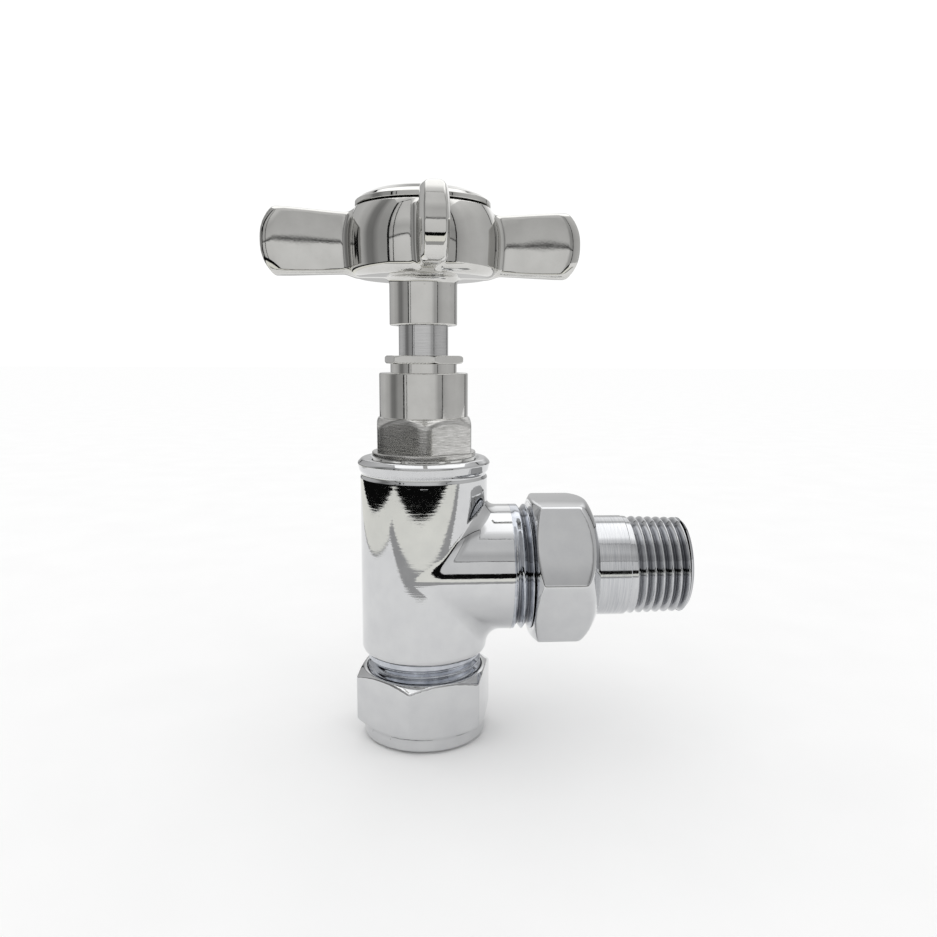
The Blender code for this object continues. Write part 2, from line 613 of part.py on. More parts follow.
def build_head_works():
    """Bonnet with its sealing ring, the packing and the gland that presses it."""
    depth = THREAD_DEPTH_RATIO * DRIVE_PITCH
    crest = DRIVE_THREAD_RADIUS - depth + GAP
    corner = BONNET_BAR_RADIUS
    skirt = BONNET_SOCKET_RADIUS - GAP
    reach = BONNET_ORING_SECTION + GAP
    ring_radius = BONNET_SOCKET_RADIUS - GAP - BONNET_ORING_SECTION
    groove_root = ring_radius - reach
    ring_z = BARREL_TOP_Z - BONNET_ORING_DEPTH
    hex_low = BONNET_Z + BONNET_SHOULDER
    hex_high = HOUSING_Z - BONNET_SHOULDER
    bonnet = turned("bonnet", [
        (crest, BONNET_FOOT_Z),
        (skirt, BONNET_FOOT_Z),
        (skirt, ring_z - reach),
        (groove_root, ring_z - reach),
        (groove_root, ring_z + reach),
        (skirt, ring_z + reach),
        (skirt, BONNET_Z),
        (corner, BONNET_Z),
        (corner, hex_low),
        (corner, hex_low, BONNET_FLATS),
        (corner, hex_high, BONNET_FLATS),
        (corner - BONNET_SHOULDER, hex_high + BONNET_SHOULDER / 2.0, BONNET_FLATS),
        (HOUSING_RADIUS, HOUSING_Z),
        (HOUSING_RADIUS, HOUSING_TOP_Z - HOUSING_CHAMFER),
        (HOUSING_RADIUS - HOUSING_CHAMFER, HOUSING_TOP_Z),
        (PACKING_CHAMBER_RADIUS, HOUSING_TOP_Z),
        (PACKING_CHAMBER_RADIUS, PACKING_FLOOR_Z),
        (STEM_HOLE_RADIUS, PACKING_FLOOR_Z),
        (STEM_HOLE_RADIUS, NECK_FLOOR_Z),
        (BONNET_RELIEF_RADIUS, NECK_FLOOR_Z),
        (BONNET_RELIEF_RADIUS, RELIEF_FLOOR_Z),
        (crest, RELIEF_FLOOR_Z),
    ], segments=SMALL_SEGMENTS, turn=math.radians(BONNET_TURN_DEG - 90.0),
        material=chrome("bonnet", 0.12))
    groove = screw_groove("bonnet_groove", BONNET_FOOT_Z - DRIVE_PITCH,
                          RELIEF_FLOOR_Z + DRIVE_PITCH, crest, DRIVE_PITCH, False,
                          segments=SMALL_SEGMENTS, phase=0.5,
                          turn=math.radians(BONNET_TURN_DEG))
    combine(bonnet, groove, "DIFFERENCE")
    torus("bonnet_o_ring", ring_radius, BONNET_ORING_SECTION, ring_z, UP,
          rubber("bonnet_o_ring"), (0.0, 0.0, 0.0))

    outer = PACKING_CHAMBER_RADIUS - GAP
    level = PACKING_FLOOR_Z + GAP
    stack = (("packing_ring_lower", PACKING_THICKNESS, fibre),
             ("packing_ring_upper", PACKING_THICKNESS, fibre),
             ("gland_washer", GLAND_WASHER_THICKNESS, brass))
    for name, thickness, stuff in stack:
        turned(name, [(STEM_HOLE_RADIUS, level), (outer, level), (outer, level + thickness),
                      (STEM_HOLE_RADIUS, level + thickness)],
               segments=TINY_SEGMENTS, material=stuff(name))
        level += thickness + GAP
    gland_corner = GLAND_FLATS / math.sqrt(3.0)
    turned("gland_nut", [
        (STEM_HOLE_RADIUS, HOUSING_TOP_Z - GLAND_SKIRT),
        (outer, HOUSING_TOP_Z - GLAND_SKIRT),
        (outer, GLAND_HEX_Z),
        (gland_corner - GLAND_CHAMFER, GLAND_HEX_Z, GLAND_FLATS),
        (gland_corner, GLAND_HEX_Z + GLAND_CHAMFER, GLAND_FLATS),
        (gland_corner, GLAND_TOP_Z - GLAND_CHAMFER, GLAND_FLATS),
        (gland_corner - GLAND_CHAMFER, GLAND_TOP_Z, GLAND_FLATS),
        (STEM_HOLE_RADIUS, GLAND_TOP_Z),
    ], segments=SMALL_SEGMENTS, turn=math.radians(GLAND_TURN_DEG - 90.0),
        material=chrome("gland_nut"))


def build_plug(carrier):
    """Jumper that the spindle lifts off the seat, with its washer and nut."""
    stud_foot = WASHER_Z - GAP - WASHER_NUT_HEIGHT - GAP
    plug = turned("valve_plug", [
        (0.0, stud_foot),
        (PLUG_STUD_RADIUS, stud_foot),
        (PLUG_STUD_RADIUS, PLUG_Z),
        (PLUG_RADIUS, PLUG_Z),
        (PLUG_RADIUS, PLUG_TOP_Z - GAP),
        (PLUG_RADIUS - GAP, PLUG_TOP_Z),
        (PLUG_PIN_RADIUS, PLUG_TOP_Z),
        (PLUG_PIN_RADIUS, PLUG_TOP_Z + PLUG_PIN_LENGTH),
        (0.0, PLUG_TOP_Z + PLUG_PIN_LENGTH),
    ], segments=TINY_SEGMENTS, material=brass("valve_plug"))
    hole = PLUG_STUD_RADIUS + GAP
    washer = turned("seat_washer", [
        (hole, WASHER_Z), (WASHER_RADIUS, WASHER_Z),
        (WASHER_RADIUS, WASHER_Z + WASHER_THICKNESS), (hole, WASHER_Z + WASHER_THICKNESS),
    ], segments=TINY_SEGMENTS, material=rubber("seat_washer"))
    nut_low = WASHER_Z - GAP - WASHER_NUT_HEIGHT
    nut_corner = WASHER_NUT_FLATS / math.sqrt(3.0)
    nut = turned("washer_nut", [
        (hole, nut_low), (nut_corner, nut_low, WASHER_NUT_FLATS),
        (nut_corner, nut_low + WASHER_NUT_HEIGHT, WASHER_NUT_FLATS),
        (hole, nut_low + WASHER_NUT_HEIGHT),
    ], segments=TINY_SEGMENTS, material=brass("washer_nut"))
    attach(carrier, plug, washer, nut)


def build_spindle(carrier):
    """Rising spindle: driving thread below, plain stem, splined end on top."""
    pin_hole = PLUG_PIN_RADIUS + GAP
    screw_foot = SCREW_HEAD_Z - SCREW_LENGTH - 2.0 * GAP
    spindle = turned("spindle", [
        (0.0, PLUG_TOP_Z + PLUG_PIN_LENGTH + GAP),
        (pin_hole, PLUG_TOP_Z + PLUG_PIN_LENGTH + GAP),
        (pin_hole, SPINDLE_FOOT_Z),
        (SPINDLE_FOOT_RADIUS, SPINDLE_FOOT_Z),
        (SPINDLE_FOOT_RADIUS, DRIVE_FOOT_Z),
        (DRIVE_THREAD_RADIUS, DRIVE_FOOT_Z),
        (DRIVE_THREAD_RADIUS, DRIVE_TOP_Z),
        (STEM_RADIUS, DRIVE_TOP_Z),
        (STEM_RADIUS, STEM_TOP_Z),
        (SPLINE_RADIUS, STEM_TOP_Z, -SPLINE_DEPTH),
        (SPLINE_RADIUS, SPINDLE_TOP_Z, -SPLINE_DEPTH),
        (SCREW_HOLE_RADIUS, SPINDLE_TOP_Z),
        (SCREW_HOLE_RADIUS, screw_foot),
        (0.0, screw_foot),
    ], segments=TINY_SEGMENTS, material=chrome("spindle"))
    thread = screw_groove("drive_groove", DRIVE_FOOT_Z - DRIVE_PITCH,
                          DRIVE_TOP_Z + DRIVE_PITCH, DRIVE_THREAD_RADIUS, DRIVE_PITCH,
                          True, segments=TINY_SEGMENTS)
    combine(spindle, thread, "DIFFERENCE")
    attach(carrier, spindle)


def arm_blank(name, turn):
    """One paddle of the cross: thin at the root, flared, with a rounded end."""
    verts = []
    faces = []
    ring_size = 2 * len(ARM_SECTION)
    edge_reach = ARM_REACH - ARM_TIP_SAG

    def tip(share):
        return edge_reach + ARM_TIP_SAG * (1.0 - (2.0 * share - 1.0) ** 2)

    stations = [(ARM_REACH * s[0], s[1], s[2], s[3], False) for s in ARM_STATIONS]
    last = ARM_STATIONS[-1]
    stations.append((-ARM_EDGE_SOFTENING, last[1] + ARM_TIP_SWELL, last[2], last[3], True))
    stations.append((0.0, last[1] - ARM_EDGE_SOFTENING, last[2] + ARM_TIP_EASE,
                     last[3] - ARM_TIP_EASE, True))
    for along, half, low, high, rounded in stations:
        points = [(share, -width) for share, width in ARM_SECTION]
        points += [(share, width) for share, width in reversed(ARM_SECTION)]
        for share, width in points:
            out = along + tip(share) if rounded else min(along, tip(share))
            level = HUB_Z + low + share * (high - low)
            across = half * width
            cos, sin = math.cos(turn), math.sin(turn)
            verts.append(Vector((out * cos - across * sin, out * sin + across * cos, level)))
    for k in range(len(stations) - 1):
        a = k * ring_size
        for i in range(ring_size):
            j = (i + 1) % ring_size
            faces.append((a + i, a + j, a + ring_size + j, a + ring_size + i))
    for a in (0, (len(stations) - 1) * ring_size):
        for i in range(len(ARM_SECTION) - 1):
            faces.append((a + i, a + i + 1, a + ring_size - 2 - i, a + ring_size - 1 - i))
    return add_object(name, verts, faces, (0.0, 0.0, 0.0), cutter=True)


def build_handle(carrier):
    """Cross handle casting, its cap, and the screw and washer under the cap."""
    fillet = BOSS_FILLET
    outline = [
        (0.0, BOSS_Z),
        (BOSS_RADIUS - GAP, BOSS_Z),
        (BOSS_RADIUS, BOSS_Z + GAP),
        (BOSS_RADIUS, HUB_Z - fillet),
        (BOSS_RADIUS + fillet * BOSS_FILLET_MIDDLE[0], HUB_Z - fillet * BOSS_FILLET_MIDDLE[1]),
        (BOSS_RADIUS + fillet, HUB_Z - GAP),
    ]
    outline += [(radius, HUB_Z + rise) for radius, rise in HUB_BULGE]
    outline.append((0.0, HUB_TOP_Z))
    handle = turned("handle", outline, turn=math.radians(ARM_TURN_DEG),
                    material=chrome("handle"))
    for k in range(ARM_COUNT):
        turn = math.radians(ARM_TURN_DEG) + FULL_TURN * k / ARM_COUNT
        combine(handle, arm_blank("arm_blank_%d" % (k + 1), turn), "UNION")
    bore = turned("handle_core", [
        (0.0, BOSS_Z - OVERCUT),
        (STEM_HOLE_RADIUS, BOSS_Z - OVERCUT),
        (STEM_HOLE_RADIUS, STEM_TOP_Z + GAP),
        (SPLINE_RADIUS + SPLINE_FIT, STEM_TOP_Z + GAP, -SPLINE_DEPTH),
        (SPLINE_RADIUS + SPLINE_FIT, HUB_FLOOR_Z, -SPLINE_DEPTH),
        (HUB_POCKET_RADIUS, HUB_FLOOR_Z),
        (HUB_POCKET_RADIUS, HUB_TOP_Z + OVERCUT),
        (0.0, HUB_TOP_Z + OVERCUT),
    ], segments=TINY_SEGMENTS, cutter=True)
    combine(handle, bore, "DIFFERENCE")

    plug = HUB_POCKET_RADIUS - GAP
    cavity = plug - CAP_PLUG_WALL
    edge = CAP_DOME[0][0]
    cap_outline = [
        (0.0, CAP_Z + CAP_CEILING),
        (cavity, CAP_Z + CAP_CEILING),
        (cavity, CAP_Z - CAP_PLUG_LENGTH),
        (plug, CAP_Z - CAP_PLUG_LENGTH),
        (plug, CAP_Z),
        (edge, CAP_Z),
    ]
    cap_outline += [(radius, CAP_Z + rise) for radius, rise in CAP_DOME]
    cap_outline.append((0.0, CAP_Z + CAP_RISE))
    cap = turned("handle_cap", cap_outline, material=chrome("handle_cap"))

    key_corner = SCREW_KEY_FLATS / math.sqrt(3.0)
    head_top = SCREW_HEAD_Z + SCREW_HEAD_HEIGHT
    screw = turned("handle_screw", [
        (0.0, SCREW_HEAD_Z - SCREW_LENGTH),
        (SCREW_RADIUS, SCREW_HEAD_Z - SCREW_LENGTH),
        (SCREW_RADIUS, SCREW_HEAD_Z),
        (SCREW_HEAD_RADIUS, SCREW_HEAD_Z),
        (SCREW_HEAD_RADIUS, head_top - GAP),
        (SCREW_HEAD_RADIUS - GAP, head_top),
        (key_corner, head_top, SCREW_KEY_FLATS),
        (key_corner, head_top - SCREW_KEY_DEPTH, SCREW_KEY_FLATS),
        (0.0, head_top - SCREW_KEY_DEPTH),
    ], segments=TINY_SEGMENTS, material=steel("handle_screw"))
    washer = turned("lock_washer", [
        (SCREW_HOLE_RADIUS, LOCK_WASHER_Z), (LOCK_WASHER_RADIUS, LOCK_WASHER_Z),
        (LOCK_WASHER_RADIUS, LOCK_WASHER_Z + LOCK_WASHER_THICKNESS),
        (SCREW_HOLE_RADIUS, LOCK_WASHER_Z + LOCK_WASHER_THICKNESS),
    ], segments=TINY_SEGMENTS, material=steel("lock_washer"))
    attach(carrier, handle, cap, screw, washer)


def main():
    for obj in list(bpy.data.objects):
        bpy.data.objects.remove(obj, do_unlink=True)
    build_body()
    build_compression_end()
    build_union()
    build_head_works()
    lift = joint_empty("spindle_lift", (0.0, 0.0, WASHER_Z))
    turn = joint_empty("handle_turn", (0.0, 0.0, HUB_Z), lift)
    build_plug(lift)
    build_spindle(turn)
    build_handle(turn)


main()
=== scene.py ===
"""Looks of an angled manual radiator valve in polished chrome.

Lengths are in millimetres until a mesh is made.  Z = 0 is the underside of
the compression nut, the upright axis is X = Y = 0, and the radiator tail
leaves along +X at height OUTLET_Z.
"""
import math

import bpy
import numpy as np
from mathutils import Matrix, Vector


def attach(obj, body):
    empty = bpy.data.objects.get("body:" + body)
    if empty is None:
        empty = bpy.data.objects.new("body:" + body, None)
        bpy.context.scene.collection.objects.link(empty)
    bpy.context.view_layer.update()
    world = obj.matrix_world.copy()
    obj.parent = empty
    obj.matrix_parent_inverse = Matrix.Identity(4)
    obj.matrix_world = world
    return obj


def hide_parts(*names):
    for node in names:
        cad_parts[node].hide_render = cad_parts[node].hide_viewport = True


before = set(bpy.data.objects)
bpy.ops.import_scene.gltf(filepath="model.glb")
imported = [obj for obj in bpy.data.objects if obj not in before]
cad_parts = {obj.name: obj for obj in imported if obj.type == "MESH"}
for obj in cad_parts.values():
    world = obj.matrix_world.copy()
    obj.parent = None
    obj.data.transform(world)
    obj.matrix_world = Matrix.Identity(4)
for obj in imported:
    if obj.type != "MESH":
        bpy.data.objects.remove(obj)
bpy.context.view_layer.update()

MM = 0.001
TURN = 2.0 * math.pi
UP, OUT = "Z", "X"
PIN = 0.01                     # radius that closes a turned end
FINE = 160                     # segments round a visible turned surface
COARSE = 64                    # segments round a hidden one

# Compression end.
SOCKET_RADIUS = 7.6
PIPE_STOP_Z = 17.0
FOOT_Z = 17.7                  # where the neck meets the tee
NECK_Z = 5.0                   # lower end of the threaded neck
CONE_RADIUS = 9.9              # mouth that the olive is squeezed into
CONE_TOP_Z = 9.4
INLET_RADIUS = 12.0
INLET_PITCH = 1.5
NUT_HEIGHT = 14.2
NUT_FLATS = 26.4
NUT_CORNER = 0.7
NUT_TURN = math.radians(17.5)
NUT_THREAD_RADIUS = 11.38
COLLAR_RADIUS = 13.05
COLLAR_HEIGHT = 2.7
OLIVE_BORE = 7.62
OLIVE_RADIUS = 8.8
OLIVE_Z, OLIVE_TOP_Z = 2.5, 7.4

# Tee.
TEE_RADIUS = 13.23
TEE_DIP = 0.3                  # the casting steps down past SEAM_Z and THREAD_X
FILLET_TOP, FILLET_SIDE, FILLET_LOW = 1.7, 3.9, 3.4
OUTLET_Z = 35.4
BARREL_TOP_Z = 59.0
BEAD_RADIUS = 13.78
BEAD_LOW_Z = 56.35
SEAM_Z = 54.2
THREAD_X = 17.9
MOUTH_X = 31.0
MOUTH_RADIUS = 9.9
MOUTH_STEP_X = 26.0
OUTLET_PITCH = 1.814
THREAD_SHARE = 0.62            # depth of a V groove over its pitch
SEAT_Z = 27.3
SEAT_BORE, SEAT_RIM = 6.3, 7.5
CHAMBER_RADIUS = 9.8
BRANCH_BORE = 8.3
BONNET_BORE = 10.9
BONNET_STOP_Z = 47.8

# Union.
UNION_X = 22.2
UNION_END_X = 35.5
UNION_FLATS = 29.3
UNION_CORNER = 1.1
UNION_TURN = math.radians(0.5)
UNION_THREAD_RADIUS = 12.42
UNION_GAP = 0.3                # between the nut and the tail
CROWN_X = 25.73                # the crown is an arc from here to the nut's end
CROWN_ARC = 10.31
CROWN_CENTRE = 8.3
TAIL_RADIUS = 10.59
TAIL_BORE, HEX_BORE_X = 7.2, 38.3
FLANGE_RADIUS = 11.7
FLANGE_X, FLANGE_END_X = 31.3, 33.6
SPIGOT_RADIUS = 9.5
SPIGOT_X = 26.3
GROOVE_RADIUS = 7.8
GROOVE_X, GROOVE_END_X = 27.55, 29.65
TAIL_THREAD_X = 42.1
TAIL_END_X = 55.4
TAIL_THREAD_RADIUS = 10.48
TAPER = 1.0 / 32.0

# Head works.
BONNET_Z = 59.3
BONNET_BAR = 10.75
BONNET_FLATS = 19.3
BONNET_TURN = math.radians(-88.2)
SKIRT_RADIUS = 10.6
SKIRT_Z = 48.3
SEAL_RADIUS = 8.8
SEAL_Z, SEAL_TOP_Z = 54.75, 56.85
HOUSING_Z = 67.4
HOUSING_TOP_Z = 76.4
HOUSING_RADIUS = 9.12
PACKING_Z = 68.5
PACKING_BORE = 7.1
RING_RADIUS = 6.8              # packing rings, washer and gland neck
GLAND_NECK_Z = 74.1
GLAND_HEX_Z = 78.2
GLAND_TOP_Z = 79.9
GLAND_FLATS = 14.5
GLAND_ROUND = 7.7
GLAND_TURN = math.radians(-75.0)
STEM_RADIUS = 5.06
STEM_HOLE = 5.36
STEM_TOP_Z = 86.7
SPLINE_RADIUS, SPLINE_TOP_Z = 4.0, 100.4
SCREW_HOLE, SCREW_HOLE_Z = 2.45, 88.6
DRIVE_RADIUS = 6.0
DRIVE_PITCH = 1.5
DRIVE_Z, DRIVE_TOP_Z = 49.9, 61.1
JUMPER_HOLE, JUMPER_HOLE_Z = 2.9, 47.0
SPINDLE_FOOT_RADIUS, SPINDLE_Z = 4.8, 37.9

# Cross handle.
BOSS_Z = 85.9
BOSS_RADIUS = 6.89
HUB_Z = 95.3
HUB_TOP_Z = 108.8
HUB_MIDDLE_Z = 102.2
HUB_ARC = 14.0
HUB_ARC_CENTRE = 1.25
HUB_LOW_ARC = 45.0
HOLLOW_RADIUS, HOLLOW_Z = 9.0, 100.8
ARM_TURN = math.radians(3.5)
ARM_REACH = 32.0
ARM_SAG = 2.6                  # how far the middle of an arm's end stands out
ARM_THICK = 2.12               # half the thickness, before the flare
ARM_FLARE = 0.50
CAP_Z = 109.1
CAP_RADIUS = 13.55
CAP_TOP_Z = 113.3
CAP_SHANK, CAP_SHANK_Z = 8.7, 104.5
CAP_HOLLOW, CAP_HOLLOW_Z = 6.1, 109.3

# Plate that has aged a little warmer than the rest.
WORN_LIGHT = (0.66, 0.655, 0.635)
WORN_DARK = (0.60, 0.595, 0.575)
PAINTED_GROOVE_SHADE = (0.17, 0.175, 0.19)     # painted shade at the root of a thread

# Light tent, about the valve, turned about the upright axis.
TENT_TURN = math.radians(-6.5)
TENT_LEFT, TENT_RIGHT = -262.0, 360.0
TENT_FRONT, TENT_BACK = -246.0, 400.0
TENT_FOOT, TENT_TOP = 38.0, 540.0
PAPER_LEFT, PAPER_FRONT = -168.0, -118.0
TABLE_Z, PAPER_EDGE_Z, FLOOR_Z = -0.3, -0.2, -0.6
FLOOR_REACH = 6000.0
SEAM_GAP = 0.6                 # a dark seam hangs this far before its wall
BLACK = (0.004, 0.004, 0.004)
NEUTRAL = (1.0, 1.0, 1.0)
WARM = (1.0, 0.995, 0.93)
WORLD_LIGHT = 1.04

# Camera.
SENSOR, LENS = 36.0, 30.694
CAMERA_PLACE = (-0.75, -166.0, 79.65)
CAMERA_PITCH, CAMERA_YAW, CAMERA_ROLL = (math.radians(a) for a in (7.95, 3.48, 0.24))


# ---------------------------------------------------------------- meshes

def place(axis, radius, angle, height):
    """Points of a turned surface about the upright or the outlet axis."""
    a, b = radius * np.cos(angle), radius * np.sin(angle)
    if axis == UP:
        return np.stack([a, b, height], -1)
    return np.stack([height, a, OUTLET_Z + b], -1)


def rounded(points, steps=5):
    """Profile with each corner (radius, height, fillet) turned into an arc."""
    out = []
    last = len(points) - 1
    for i, (radius, height, fillet) in enumerate(points):
        here = np.array((radius, height), float)
        if i in (0, last) or fillet <= 0.0:
            out.append(here)
            continue
        back = np.array(points[i - 1][:2]) - here
        ahead = np.array(points[i + 1][:2]) - here
        back_length, ahead_length = np.linalg.norm(back), np.linalg.norm(ahead)
        back, ahead = back / back_length, ahead / ahead_length
        angle = math.acos(float(np.clip(back @ ahead, -1.0, 1.0)))
        if angle > math.pi - 0.03:
            out.append(here)
            continue
        reach = min(fillet / math.tan(angle / 2.0), 0.49 * back_length, 0.49 * ahead_length)
        arc = reach * math.tan(angle / 2.0)
        bisector = (back + ahead) / np.linalg.norm(back + ahead)
        centre = here + bisector * arc / math.sin(angle / 2.0)
        start, end = here + back * reach - centre, here + ahead * reach - centre
        first = math.atan2(start[1], start[0])
        sweep = math.atan2(end[1], end[0]) - first
        sweep = (sweep + math.pi) % TURN - math.pi
        for k in range(steps + 1):
            at = first + sweep * k / steps
            out.append(centre + arc * np.array((math.cos(at), math.sin(at))))
    return np.array(out)


def grid_faces(rows, columns):
    """Quads of a grid whose columns run round an axis."""
    i = np.arange(rows - 1)[:, None]
    j = np.arange(columns)[None, :]
    k = (j + 1) % columns
    a, b = i * columns + j, i * columns + k
    return np.stack([a, b, b + columns, a + columns], -1).reshape(-1, 4)


def lathe(points, axis=UP, segments=FINE, steps=5):
    """Turned surface; the profile runs up the outside and down the inside."""
    profile = rounded(points, steps)
    radius = np.maximum(profile[:, 0], PIN)
    angle = TURN * np.arange(segments) / segments
    r, a = np.meshgrid(radius, angle, indexing="ij")
    h = np.repeat(profile[:, 1:2], segments, 1)
    return place(axis, r, a, h).reshape(-1, 3), grid_faces(len(profile), segments)


def groove(phase, flat=0.14):
    """Depth share of a V thread at a phase counted from the groove's middle."""
    away = np.abs(phase) / (0.5 * (1.0 - flat))
    rise = 1.0 - np.sqrt(away ** 2 + 0.012) + 0.05
    return 0.5 * (rise + np.sqrt(rise ** 2 + 0.004))


def thread(crest, pitch, depth, start, end, axis, first=None, last=None, offset=0.0,
           segments=FINE, rows=22, inward=False):
    """Screw thread as a fine height field between two stations.

    crest is the crest radius, or gives it at a station.  The groove fades in
    over a third of a turn after first and fades out before last.
    """
    count = max(int((end - start) / pitch * rows), 8)
    height = np.linspace(start, end, count + 1)
    angle = TURN * np.arange(segments) / segments
    h, a = np.meshgrid(height, angle, indexing="ij")
    phase = h / pitch - a / TURN - offset
    phase = phase - np.round(phase)
    centre = h - phase * pitch
    run = 0.3 * pitch
    share = np.ones_like(h)
    if first is not None:
        share = share * np.clip((centre - first) / run, 0.0, 1.0)
    if last is not None:
        share = share * np.clip((last - centre) / run, 0.0, 1.0)
    side = 1.0 if inward else -1.0
    r = (crest(h) if callable(crest) else crest) + side * depth * share * groove(phase)
    verts = place(axis, r, a, h).reshape(-1, 3)
    faces = grid_faces(count + 1, segments)
    return verts, faces[:, ::-1] if inward else faces


def round_max(a, b, radius):
    """Intersection of two fields with a rounded edge."""
    u, v = np.maximum(radius + a, 0.0), np.maximum(radius + b, 0.0)
    return np.minimum(-radius, np.maximum(a, b)) + np.sqrt(u * u + v * v)


def round_min(a, b, radius):
    """Union of two fields with a fillet."""
    return -round_max(-a, -b, radius)


def linear(value, start, end):
    """0 before start, 1 after end and a straight rise between them."""
    return np.clip((value - start) / (end - start), 0.0, 1.0)


def smooth(value, start, end):
    """0 before start, 1 after end and a smooth rise between them."""
    share = linear(value, start, end)
    return share * share * (3.0 - 2.0 * share)


def turned(x, y, angle):
    """Coordinates in a frame turned about the axis."""
    c, s = math.cos(angle), math.sin(angle)
    return c * x + s * y, c * y - s * x


def chamfer(outward, upward):
    """Field of a 30 degree chamfer, from the distances past its edge."""
    return 0.5 * outward + 0.866 * upward


def hexagon(x, y, flats, corner, swell=0.0):
    """Distance to a hexagon with rounded corners, one corner on +x.

    swell is how much the middle of a buffed flat stands above its edges.
    """
    inner = flats / 2.0 - corner - swell
    x, y = np.abs(x), np.abs(y)
    along = 2.0 * np.minimum(-math.sqrt(0.75) * x + 0.5 * y, 0.0)
    x = x + along * math.sqrt(0.75)
    y = y - along * 0.5
    edge = inner / math.sqrt(3.0)
    y = y - inner - swell * np.maximum(1.0 - (x / edge) ** 2, 0.0)
    x = x - np.clip(x, -edge, edge)
    return np.sqrt(x * x + y * y) * np.sign(y) - corner


def gradient(field, p, step=0.02):
    """Slope of a field at points."""
    out = np.empty_like(p)
    for k in range(3):
        d = np.zeros(3)
        d[k] = step
        out[:, k] = (field(*(p + d).T) - field(*(p - d).T)) / (2.0 * step)
    return out


# Corners of a grid cell, and the pairs of corners that its edges join.
CELL = np.array([[i, j, k] for i in (0, 1) for j in (0, 1) for k in (0, 1)])
EDGES = [(a, b) for a in range(8) for b in range(a + 1, 8)
         if np.abs(CELL[a] - CELL[b]).sum() == 1]


def surface_net(field, low, counts, step):
    """Quads through the grid cells that the zero of a field crosses."""
    lines = [low[k] + step * np.arange(counts[k] + 1) for k in range(3)]
    value = field(*np.meshgrid(*lines, indexing="ij")).astype(np.float32)
    inside = value < 0.0
    total = np.zeros(counts, np.int8)
    for i, j, k in CELL:
        total += inside[i:i + counts[0], j:j + counts[1], k:k + counts[2]]
    cells = np.argwhere((total > 0) & (total < 8))
    index = np.full(counts, -1)
    index[tuple(cells.T)] = np.arange(len(cells))
    summed = np.zeros((len(cells), 3))
    number = np.zeros(len(cells))
    for a, b in EDGES:
        fa = value[tuple((cells + CELL[a]).T)]
        fb = value[tuple((cells + CELL[b]).T)]
        hit = (fa < 0.0) != (fb < 0.0)
        share = (fa[hit] / (fa[hit] - fb[hit]))[:, None]
        summed[hit] += cells[hit] + CELL[a] + share * (CELL[b] - CELL[a])
        number[hit] += 1.0
    faces = []
    for k in range(3):
        u, v = (k + 1) % 3, (k + 2) % 3
        first = [slice(None)] * 3
        second = [slice(None)] * 3
        for m in (u, v):
            first[m] = second[m] = slice(1, counts[m])
        first[k], second[k] = slice(0, counts[k]), slice(1, counts[k] + 1)
        one, two = inside[tuple(first)], inside[tuple(second)]
        at = np.argwhere(one != two)
        outward = one[tuple(at.T)]
        at[:, u] += 1
        at[:, v] += 1
        du, dv = np.eye(3, dtype=int)[u], np.eye(3, dtype=int)[v]
        ring = [index[tuple((at - s * du - t * dv).T)] for s, t in ((1, 1), (0, 1), (0, 0), (1, 0))]
        quad = np.stack(ring, -1)
        faces.append(np.where(outward[:, None], quad, quad[:, ::-1]))
    return low + step * summed / number[:, None], np.concatenate(faces)


def settle(field, p, faces, step, relax):
    """Move points to the zero of a field, and even out their spacing on it."""
    pairs = np.concatenate([faces[:, [k, (k + 1) % 4]] for k in range(4)])
    open_edge = edge_points(pairs, len(p))
    count = sum(np.bincount(pairs[:, k], minlength=len(p)) for k in (0, 1))
    free = (count > 0) & ~open_edge
    for turn in range(relax + 1):
        for _ in range(3 if turn in (0, relax) else 1):
            slope = gradient(field, p)
            size = np.maximum((slope ** 2).sum(1), 1e-6)
            move = field(*p.T)[:, None] * slope / size[:, None]
            p = p - np.clip(move, -step, step)
        if turn < relax:
            mean = np.stack([np.bincount(pairs[:, 0], p[pairs[:, 1], m], len(p))
                             + np.bincount(pairs[:, 1], p[pairs[:, 0], m], len(p)) for m in range(3)], -1)
            mean /= np.maximum(count, 1)[:, None]
            p[free] += 0.5 * (mean - p)[free]
    return p


def implicit(field, low, high, step, keep=None, relax=5):
    """Even quad mesh on the zero of a field, with exact normals."""
    low = np.array(low, float)
    counts = np.ceil((np.array(high) - low) / step).astype(int)
    p, faces = surface_net(field, low, counts, step)
    if keep is not None:
        faces = faces[keep(*p[faces].mean(1).T)]
    p = settle(field, p, faces, step, relax)
    slope = gradient(field, p)
    normals = slope / np.maximum(np.linalg.norm(slope, axis=1), 1e-9)[:, None]
    used = np.unique(faces)
    fresh = np.full(len(p), -1)
    fresh[used] = np.arange(len(used))
    return p[used], fresh[faces], normals[used]


def edge_points(pairs, count):
    """Points on an open border of a quad mesh."""
    ends = np.sort(pairs, 1)
    key = ends[:, 0] * count + ends[:, 1]
    unique, times = np.unique(key, return_counts=True)
    border = unique[times == 1]
    out = np.zeros(count, bool)
    out[border // count] = True
    out[border % count] = True
    return out


def mesh_normals(verts, faces):
    """Area-weighted point normals."""
    p = verts[faces]
    n = np.cross(p[:, 2] - p[:, 0], p[:, 3] - p[:, 1])
    out = np.zeros_like(verts)
    for k in range(4):
        for m in range(3):
            out[:, m] += np.bincount(faces[:, k], n[:, m], len(verts))
    return out / np.maximum(np.linalg.norm(out, axis=1), 1e-12)[:, None]


